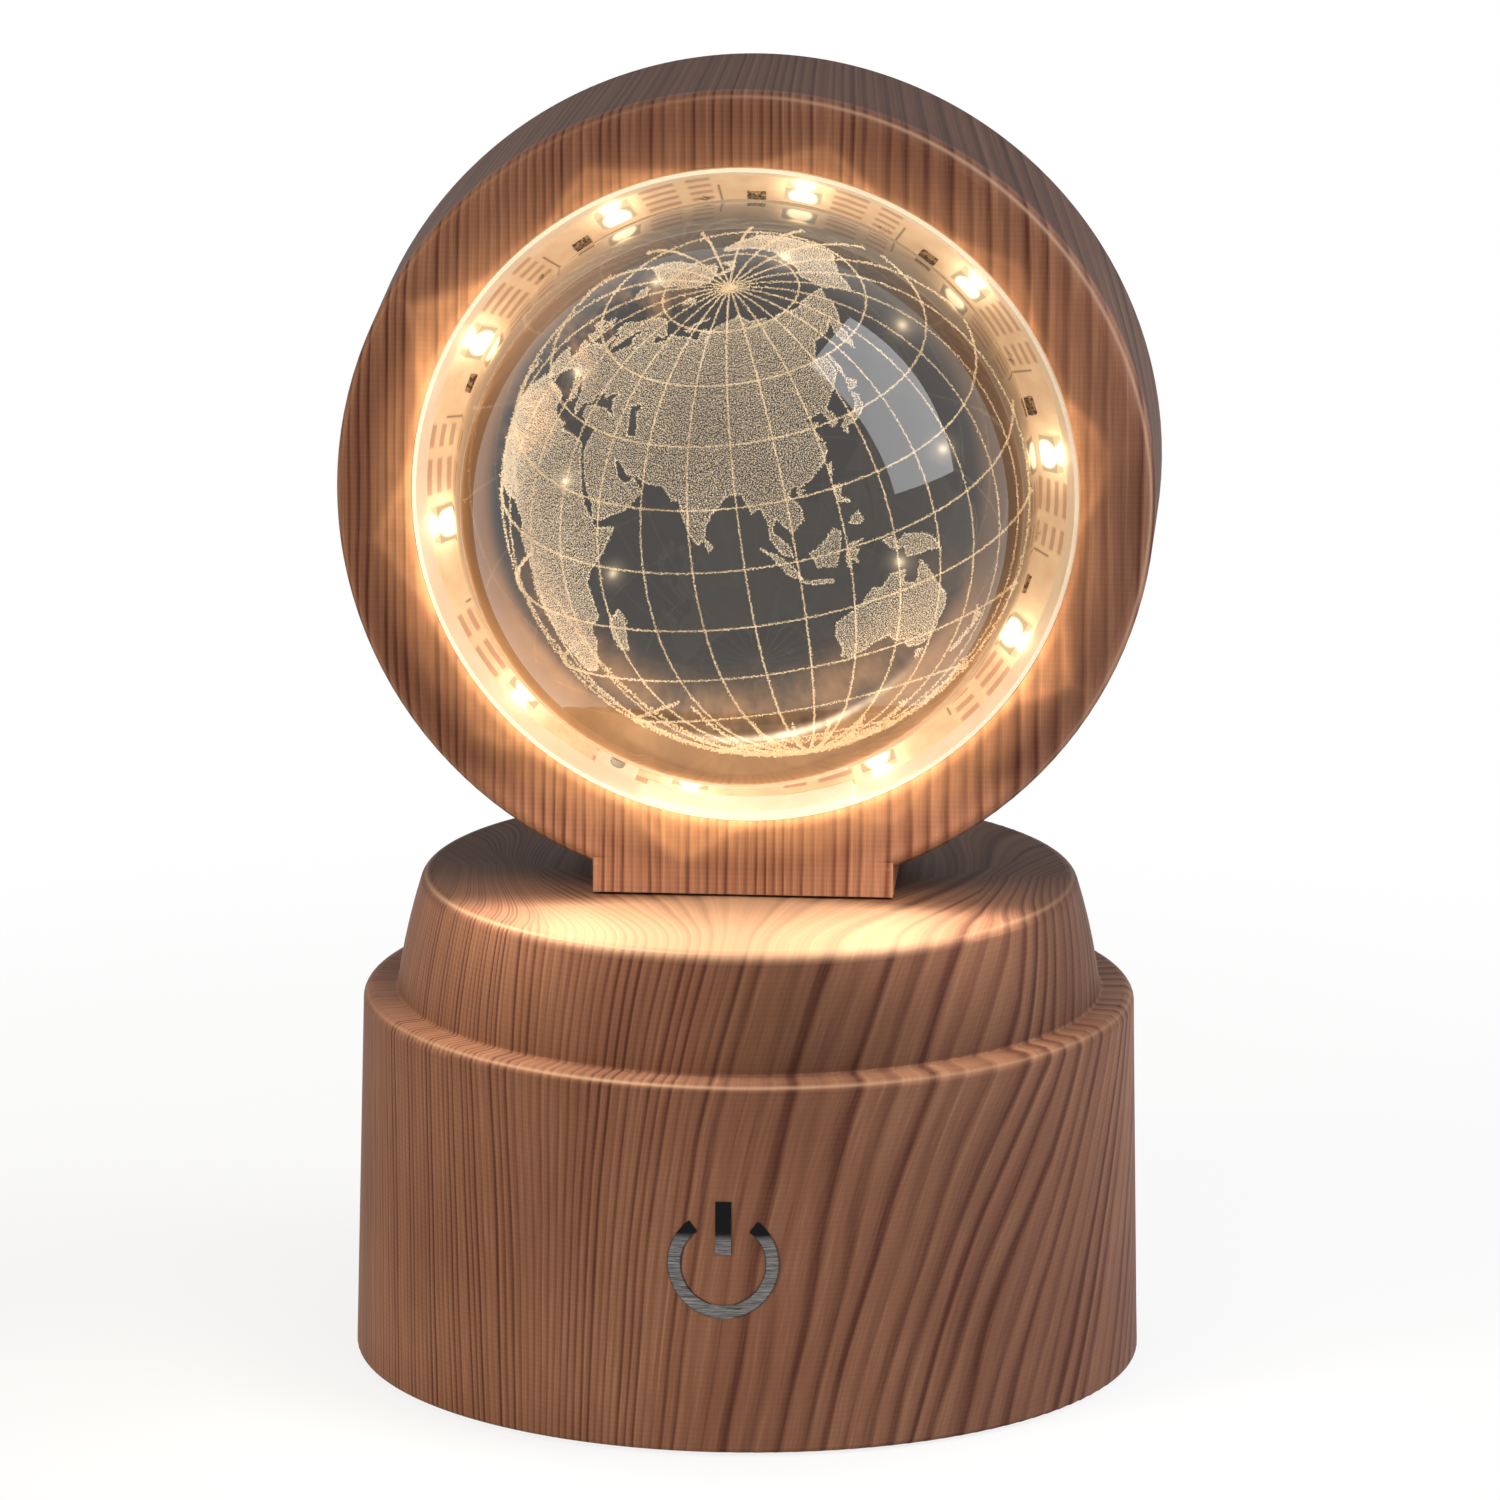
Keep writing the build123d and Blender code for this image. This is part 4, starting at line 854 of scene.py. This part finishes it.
# Coastlines of the engraved globe: longitude and latitude in degrees
LANDS = {
    "eurasia": (
        (-9, 38.7), (-9, 43), (-1.5, 43.4), (-1, 46), (-4.5, 48.4), (1.5, 50.2), (4, 52), (8.5, 53.8),
        (8.2, 57), (10.5, 57.6), (10.5, 54.5), (14, 54), (19, 54.5), (21, 57), (24, 59.3), (30, 60),
        (24, 60.2), (21.5, 61), (21.5, 63), (25.5, 65), (22, 65.8), (17.5, 62.5), (17, 60.5), (16.5, 57),
        (14, 55.5), (11, 59), (8, 58), (5.2, 59.5), (5, 62), (10, 64), (14, 67.5), (20, 70), (26, 71),
        (31, 70.3), (41, 67.5), (40, 66.3), (34, 66.6), (35, 64.3), (38, 64), (44, 66), (44, 68.3),
        (54, 68.5), (60, 69), (68, 68.5), (67, 71.5), (70, 73), (73, 71.5), (73, 68), (75, 72.5),
        (80, 73.5), (87, 75), (98, 76.3), (104, 77.7), (113, 74), (127, 73.5), (130, 71), (140, 72.5),
        (150, 71.5), (160, 69.8), (170, 70), (180, 69), (190, 66.3), (180, 65), (177.5, 62.5), (170, 60),
        (163, 58), (162, 56), (156.8, 51), (155.5, 55), (156.5, 57.5), (163, 61.5), (154, 59.5),
        (143, 59.3), (135.5, 54.7), (141, 53), (140.5, 48.5), (132, 43.2), (127.5, 39.8), (129.4, 37),
        (129, 35), (126.5, 34.5), (126.5, 37.5), (125, 39.7), (121.5, 39), (118, 39), (119, 37),
        (122.5, 37), (119.5, 35), (121.8, 31.5), (121.5, 28.3), (119, 25.5), (114, 22.3), (110, 20.5),
        (108, 21.6), (105.8, 19), (108.8, 15.5), (109, 11.6), (105, 8.7), (103, 11), (101, 13.4),
        (99.3, 10), (103.3, 5), (104.2, 1.4), (101, 3), (98.5, 8), (98.6, 13), (97, 17), (94.3, 16),
        (92, 21.5), (90, 22), (87, 21.3), (82.2, 16.6), (80.2, 13.5), (79.8, 10.3), (77.5, 8), (75, 12),
        (72.8, 19), (72.5, 21), (70.3, 20.8), (69, 22.3), (67, 24.8), (61.5, 25.1), (57, 27), (54, 26.6),
        (50.5, 30), (48, 30), (51, 25), (54, 24.2), (56.3, 26.3), (59.8, 22.5), (55, 17.5), (52, 16),
        (45, 12.8), (43, 13), (42.5, 16.5), (39, 21), (35, 28), (34.3, 31.3), (36, 36), (31, 36.5),
        (27.5, 37), (26.5, 40), (29, 41), (35, 42), (41, 41.2), (37.5, 45), (39, 47.2), (35, 46.3),
        (33.5, 44.5), (30.5, 46.3), (28, 43.5), (28, 41.5), (24, 40.7), (23, 36.6), (21, 37.5),
        (19.5, 41.8), (13.8, 45.4), (12.3, 44.3), (18.3, 40), (15.8, 38), (12, 42), (8.5, 44.3),
        (4, 43.4), (-0.3, 39.2), (-2, 36.8), (-5.5, 36.1), (-9, 37),
    ),
    "africa": (
        (-6, 35.8), (-10, 31), (-13, 27.5), (-17, 21), (-17.3, 14.7), (-15, 11), (-13, 8), (-8, 4.5),
        (-2, 5), (4, 6.3), (7, 4.3), (9.5, 4), (9.7, 1), (9, -1), (12, -5), (13.5, -9), (12.5, -13.5),
        (14.5, -22), (17.8, -29), (18.4, -34), (20, -34.8), (26, -33.8), (31, -30), (33, -26),
        (35.5, -24), (35, -20), (40.5, -15.5), (40.5, -10.5), (39.3, -6), (41.5, -1.8), (47, 4.5),
        (51, 11.8), (44, 10.5), (43, 12.5), (39.5, 15.5), (37.2, 20), (35.5, 24), (32.6, 29.9),
        (31.5, 31.4), (25, 31.7), (20, 31), (20, 32.8), (15, 32.3), (11, 33.8), (10.5, 37.2), (3, 36.9),
        (-2, 35.1),
    ),
    "australia": (
        (114, -22), (122, -18), (126, -14), (129, -15), (132, -11.5), (136.8, -12), (136, -15.5),
        (140.8, -17.5), (142.5, -10.8), (145.3, -15), (149, -20.5), (153, -25), (153.3, -29),
        (150, -37.3), (146.5, -39), (143.5, -38.8), (140, -37.8), (138.3, -34.8), (135.8, -34.8),
        (131.5, -31.5), (126, -32.3), (123.5, -34), (118, -35), (115.2, -34.2), (115.7, -31.5),
        (113.5, -26),
    ),
    "north_america": (
        (192, 66), (204, 71), (220, 69.8), (232, 70), (245, 68), (265, 68), (275, 69.5), (279, 68),
        (273, 64.5), (266, 60), (265, 57), (230, 55), (222, 58), (210, 60), (196, 58),
    ),
    "greenland": (
        (-45, 60), (-42, 62.5), (-32, 68), (-22, 70.5), (-20, 76), (-15, 80), (-25, 83), (-35, 83.5),
        (-60, 82), (-68, 79), (-70, 76.5), (-58, 75.5), (-54, 70), (-53, 66), (-48, 61),
    ),
    "ellesmere": ((298, 82.5), (290, 83), (270, 81.5), (275, 79), (282, 76.5), (270, 76.5), (268, 80)),
    "madagascar": ((49.3, -12), (50.4, -15.5), (47, -25), (44, -25), (43.3, -22), (44.4, -16.2)),
    "ceylon": ((80, 9.7), (81.8, 7.3), (80.5, 6), (79.8, 8)),
    "sumatra": ((95.3, 5.6), (100.5, 2), (104, -2), (105.8, -5.8), (102.3, -4), (98.7, 1.8)),
    "java": ((105.5, -6.6), (108.5, -6.7), (114.4, -7.7), (114.4, -8.7), (108.5, -7.8)),
    "borneo": (
        (109, 1.5), (111.5, 2.5), (113.5, 3.7), (117, 7), (119, 5), (117.8, 1), (116, -4), (110.5, -3),
    ),
    "sulawesi": (
        (119.5, -5.5), (119, -3), (120, 1), (125, 1.5), (121, 0.3), (121, -1), (123.3, -1), (122, -3),
        (122.5, -5), (120.5, -3), (120.3, -5.5),
    ),
    "new_guinea": (
        (131, -0.8), (134, -0.8), (135, -3.3), (138, -1.7), (144.5, -3.8), (147.8, -6), (150.5, -10.5),
        (146, -9), (143, -9), (138, -8.3), (137.8, -5.3), (133, -4),
    ),
    "luzon": ((120.5, 18.4), (122.2, 18.4), (121.5, 15), (124, 13), (120.5, 13.8), (120, 16)),
    "mindanao": ((123, 8.5), (125.5, 9.5), (126.3, 7), (125.3, 5.8), (122, 7)),
    "taiwan": ((121.5, 25.2), (120.9, 22), (120.1, 23.2)),
    "hainan": ((109, 20), (111, 19.8), (109.5, 18.3), (108.7, 19.2)),
    "honshu": (
        (130, 33.5), (132.5, 35.4), (136, 35.8), (139.5, 38.2), (140.5, 41.3), (142, 39.5),
        (140.8, 35.8), (138.5, 34.7), (135.5, 33.6), (132, 33.2), (131, 31.3), (130.2, 32),
    ),
    "hokkaido": ((140, 42), (141.8, 45.4), (145.3, 43.3), (143, 42)),
    "sakhalin": ((142, 46), (143.5, 49), (143, 54.3), (142.2, 53), (142, 50)),
    "tasmania": ((145, -40.8), (148.2, -40.9), (147.5, -43.2), (146, -43.5)),
    "new_zealand_north": ((173, -34.6), (175.7, -37), (178.3, -37.8), (175.3, -41.5), (174, -39.3)),
    "new_zealand_south": ((173, -40.7), (174.3, -41.7), (171, -45.8), (168.5, -46.6), (166.8, -45.8)),
    "novaya_zemlya": ((52, 71), (56, 73.5), (68, 76.8), (57, 74), (57, 70.7)),
    "britain": (
        (-5.5, 50), (1.3, 51.2), (0, 53), (-3, 56), (-2, 57.6), (-5, 58.6), (-5.5, 56), (-3, 54),
        (-4.7, 52),
    ),
    "ireland": ((-10, 52), (-6.3, 52.3), (-6, 54.5), (-8, 55.2), (-10, 54)),
    "iceland": ((-24, 65.5), (-22, 66.4), (-16, 66.5), (-13.6, 65), (-18.5, 63.4), (-22.5, 64)),
    "svalbard": ((11, 79.5), (20, 80.3), (27, 80), (18, 76.8)),
}
INLAND_SEAS = {
    "caspian": ((47, 45), (51, 46.8), (53, 45), (51, 44), (53.5, 40), (54, 37), (50, 37.4), (49, 41)),
}

# The globe: its size and place from the ball's middle, in millimetres, and its lines, in degrees
GLOBE_RADIUS = 13.9
GLOBE_OFFSET = (0.92, 2.7, -0.34)
GLOBE_TILT = (math.radians(9.8), math.radians(-8.15), math.radians(-1.0))
FACING_MERIDIAN = 90
MERIDIAN_STEP = 15
PARALLELS = (-72, -54, -36, -18, 0, 18, 36, 54, 72)
LINE_STEP = 10
FULL_TURN = 360
WEST_END = -60

# Specks: sizes, spacing and scatter in millimetres, and the jitter in pitches of the even pattern
SCATTERED_SPECKS = 380000
GOLDEN_ANGLE = math.degrees(math.pi * (3 - math.sqrt(5)))
SPECK_JITTER = 0.40
LAND_SPECK_SIZE = 0.041
COAST_SPACING = 0.055
COAST_SPREAD = 0.045
COAST_SPECK_SIZE = 0.052
LINE_SPACING = 0.033
LINE_SPREAD = 0.035
LINE_SPECK_SIZE = 0.056
SIZE_RANGE = (0.7, 1.3)
SPECK_SEED = 11


def inside(outline, longitude, latitude):
    """Which of the points lie inside the outline."""
    hit = np.zeros(len(longitude), bool)
    for (x0, y0), (x1, y1) in zip(outline, outline[1:] + outline[:1]):
        if y0 == y1:
            continue
        spans = (y0 > latitude) != (y1 > latitude)
        hit ^= spans & (longitude < (x1 - x0) * (latitude - y0) / (y1 - y0) + x0)
    return hit


def on_globe(longitude, latitude):
    """Places on the globe, in millimetres from its centre, before it is tilted."""
    turn = np.radians(longitude - FACING_MERIDIAN)
    rise = np.radians(latitude)
    places = np.stack((np.cos(rise) * np.sin(turn), -np.cos(rise) * np.cos(turn), np.sin(rise)), 1)
    return places * GLOBE_RADIUS


def land_specks(random):
    """Points spread evenly over the land: a spiral of golden angles, with a little scatter."""
    turn = np.arange(SCATTERED_SPECKS)
    pitch = math.degrees(math.sqrt(4 * math.pi / SCATTERED_SPECKS))
    latitude = np.degrees(np.arcsin(1 - (2 * turn + 1) / SCATTERED_SPECKS))
    latitude += random.normal(0, SPECK_JITTER * pitch, SCATTERED_SPECKS)
    longitude = turn * GOLDEN_ANGLE + random.normal(0, SPECK_JITTER * pitch, SCATTERED_SPECKS)
    longitude = longitude % FULL_TURN + WEST_END
    dry = np.zeros(SCATTERED_SPECKS, bool)
    for outline in LANDS.values():
        for lap in (-FULL_TURN, 0, FULL_TURN):
            dry |= inside(outline, longitude + lap, latitude)
    for outline in INLAND_SEAS.values():
        dry &= ~inside(outline, longitude, latitude)
    return on_globe(longitude[dry], latitude[dry])


def along_lines(random, lines, spacing, spread):
    """Points along lines of longitude and latitude, with a little scatter."""
    spots = []
    for line in lines:
        for start, end in zip(line, line[1:]):
            ends = on_globe(*np.array([start, end], float).T)
            count = max(1, round(float(np.linalg.norm(ends[1] - ends[0])) / spacing))
            share = (np.arange(count) + random.uniform(0, 1, count)) / count
            spots.append(on_globe(*[low + (high - low) * share for low, high in zip(start, end)]))
    spots = np.concatenate(spots)
    return spots + random.normal(0, spread, spots.shape)


def coast_lines():
    """Every coast as a closed line."""
    return [(*outline, outline[0]) for outline in (*LANDS.values(), *INLAND_SEAS.values())]


def grid_lines():
    """The meridians and parallels."""
    rises = range(-90, 91, LINE_STEP)
    turns = range(0, FULL_TURN + 1, LINE_STEP)
    meridians = [[(longitude, rise) for rise in rises] for longitude in range(0, FULL_TURN, MERIDIAN_STEP)]
    parallels = [[(turn, latitude) for turn in turns] for latitude in PARALLELS]
    return meridians + parallels


def speck_mesh(name, places, sizes, random):
    """A closed four-sided speck at each place, turned at random."""
    corners = np.array(((1, 1, 1), (1, -1, -1), (-1, 1, -1), (-1, -1, 1)), float) / math.sqrt(3)
    spin = random.normal(size=(len(places), 4))
    w, x, y, z = (spin / np.linalg.norm(spin, axis=1)[:, None]).T
    turns = np.stack((
        1 - 2 * (y * y + z * z), 2 * (x * y - w * z), 2 * (x * z + w * y),
        2 * (x * y + w * z), 1 - 2 * (x * x + z * z), 2 * (y * z - w * x),
        2 * (x * z - w * y), 2 * (y * z + w * x), 1 - 2 * (x * x + y * y),
    ), 1).reshape(-1, 3, 3)
    points = np.einsum("nij,kj->nki", turns, corners) * sizes[:, None, None] + places[:, None, :]
    faces = np.array(((0, 1, 2), (0, 3, 1), (0, 2, 3), (1, 3, 2)))
    faces = (faces[None] + 4 * np.arange(len(places))[:, None, None]).reshape(-1, 3)
    mesh = bpy.data.meshes.new(name)
    mesh.from_pydata((points.reshape(-1, 3) * MM).tolist(), [], faces.tolist())
    return mesh


def engrave_globe():
    """The globe, as clouds of specks inside the glass."""
    random = np.random.default_rng(SPECK_SEED)
    tilt = np.array(
        Matrix.Rotation(GLOBE_TILT[0], 3, "X")
        @ Matrix.Rotation(GLOBE_TILT[1], 3, "Y")
        @ Matrix.Rotation(GLOBE_TILT[2], 3, "Z")
    )
    centre = np.array(BALL_CENTRE) / MM + GLOBE_OFFSET
    land = engraving("engraved_land", *LAND_MARKS)
    coast = engraving("engraved_coast", *COAST_MARKS)
    grid = finishes["globe_engraving"]
    lands = land_specks(random)
    coasts = along_lines(random, coast_lines(), COAST_SPACING, COAST_SPREAD)
    lines = along_lines(random, grid_lines(), LINE_SPACING, LINE_SPREAD)
    for name, places, size, finish in (
        ("land_specks_1", lands[0::2], LAND_SPECK_SIZE, land),
        ("land_specks_2", lands[1::2], LAND_SPECK_SIZE, land),
        ("coast_specks", coasts, COAST_SPECK_SIZE, coast),
        ("grid_specks", lines, LINE_SPECK_SIZE, grid),
    ):
        places = places @ tilt.T + centre
        places = places[places[:, 1] < ENGRAVED_DEPTH]
        sizes = size * random.uniform(*SIZE_RANGE, len(places))
        piece = keep(speck_mesh(name, places, sizes, random), name, finish)
        if name == "grid_specks":
            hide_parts("globe_engraving")


engrave_globe()

# Floor: size in metres, and radii in millimetres between which its shade fades
FLOOR_SIZE = 4.0
FLOOR_TONES = ((0.3, (0.94, 0.94, 0.94)), (0.7, (0.96, 0.96, 0.96)))
SHADE_SHARE = 0.82
SHADE_FROM = 60.0
SHADE_TO = 200.0


def floor():
    """Pale floor that shows white, with the object's soft shadow kept."""
    mat = Shade("floor_pale", {"Roughness": 0.9, "Specular IOR Level": 0.0})
    mat.set("Base Color", mat.ramp(mat.noise(0.01), FLOOR_TONES))
    x, y, z = mat.millimetres()
    path = mat.add("ShaderNodeLightPath")
    seen = mat.most(path.outputs["Is Camera Ray"], path.outputs["Is Glossy Ray"])
    share = mat.ease(mat.length(x, y), SHADE_FROM, SHADE_TO, SHADE_SHARE, 1.0)
    seen = mat.most(mat.times(seen, share), path.outputs["Is Transmission Ray"])
    mat.show_white(seen, mat.surface.outputs[0], "ShaderNodeEmission", "Material Output")
    half = FLOOR_SIZE / 2
    mesh = bpy.data.meshes.new("floor")
    corners = [(-half, -half, 0), (half, -half, 0), (half, half, 0), (-half, half, 0)]
    mesh.from_pydata(corners, [], [(0, 1, 2, 3)])
    mesh.materials.append(mat.material)
    plane = bpy.data.objects.new("floor", mesh)
    scene.collection.objects.link(plane)


WORLD_LEVEL = 0.28
WORLD_COLOUR = (1.0, 0.98, 0.96, 1)


def world():
    """Even light, seen as plain white by the camera and in reflections and glass."""
    scene.world = bpy.data.worlds.new("studio")
    scene.world.use_nodes = True
    sky = Nodes(scene.world.node_tree)
    lit = sky.tree.nodes["Background"]
    lit.inputs["Color"].default_value = WORLD_COLOUR
    lit.inputs["Strength"].default_value = WORLD_LEVEL
    path = sky.add("ShaderNodeLightPath")
    seen = sky.most(path.outputs["Is Camera Ray"], path.outputs["Is Glossy Ray"])
    seen = sky.most(seen, path.outputs["Is Transmission Ray"])
    sky.show_white(seen, lit.outputs[0], "ShaderNodeBackground", "World Output")


# Lamps: places and sizes in metres, power in watts
SPILL_PLACE = (0, -0.0205, 0.058)
SPILL_SPREAD = math.radians(130)
SPILL_TILT = math.radians(-2)


def area_lamp(name, size, power, colour, height=None):
    """An area light, square unless it has a height of its own."""
    light = bpy.data.lights.new(name, "AREA")
    light.size = size
    light.energy = power
    light.color = colour
    if height is not None:
        light.shape = "RECTANGLE"
        light.size_y = height
    lamp = bpy.data.objects.new(name, light)
    scene.collection.objects.link(lamp)
    return lamp


def softbox(name, side, distance, size, power, colour, height=None):
    """An area light that faces the ball; side is how far right, up and towards the camera it stands."""
    lamp = area_lamp(name, size, power, colour, height)
    direction = (side[0] * camera_right + side[1] * camera_up + side[2] * camera_back).normalized()
    lamp.location = BALL_CENTRE + direction * distance
    lamp.rotation_mode = "QUATERNION"
    lamp.rotation_quaternion = (-direction).to_track_quat("-Z", "Y")
    return lamp


def lights():
    """A warm key at the left, a window at the right, a fill behind, and the strip's light on the base."""
    key = softbox("key", (-0.80, 0.12, 0.60), distance=0.8, size=0.26, power=4.2, colour=(1.0, 0.86, 0.62))
    key.visible_glossy = False
    window = {"size": 0.30, "height": 0.52, "power": 2.4, "colour": (0.93, 0.96, 1.0)}
    softbox("window", (0.80, 0.50, 0.34), distance=0.5, **window)
    fill = softbox("fill", (0.5, 0.02, -0.85), distance=1.2, size=0.8, power=3.2, colour=(1.0, 0.98, 0.95))
    fill.visible_glossy = False
    fill.visible_transmission = False
    spill = area_lamp("spill", size=0.054, height=0.012, power=0.034, colour=(1.0, 0.94, 0.74))
    spill.data.spread = SPILL_SPREAD
    spill.location = SPILL_PLACE
    spill.rotation_euler = (SPILL_TILT, 0, 0)
    spill.visible_camera = False
    spill.visible_glossy = False
    spill.visible_transmission = False
    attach(spill, "head")


floor()
world()
lights()
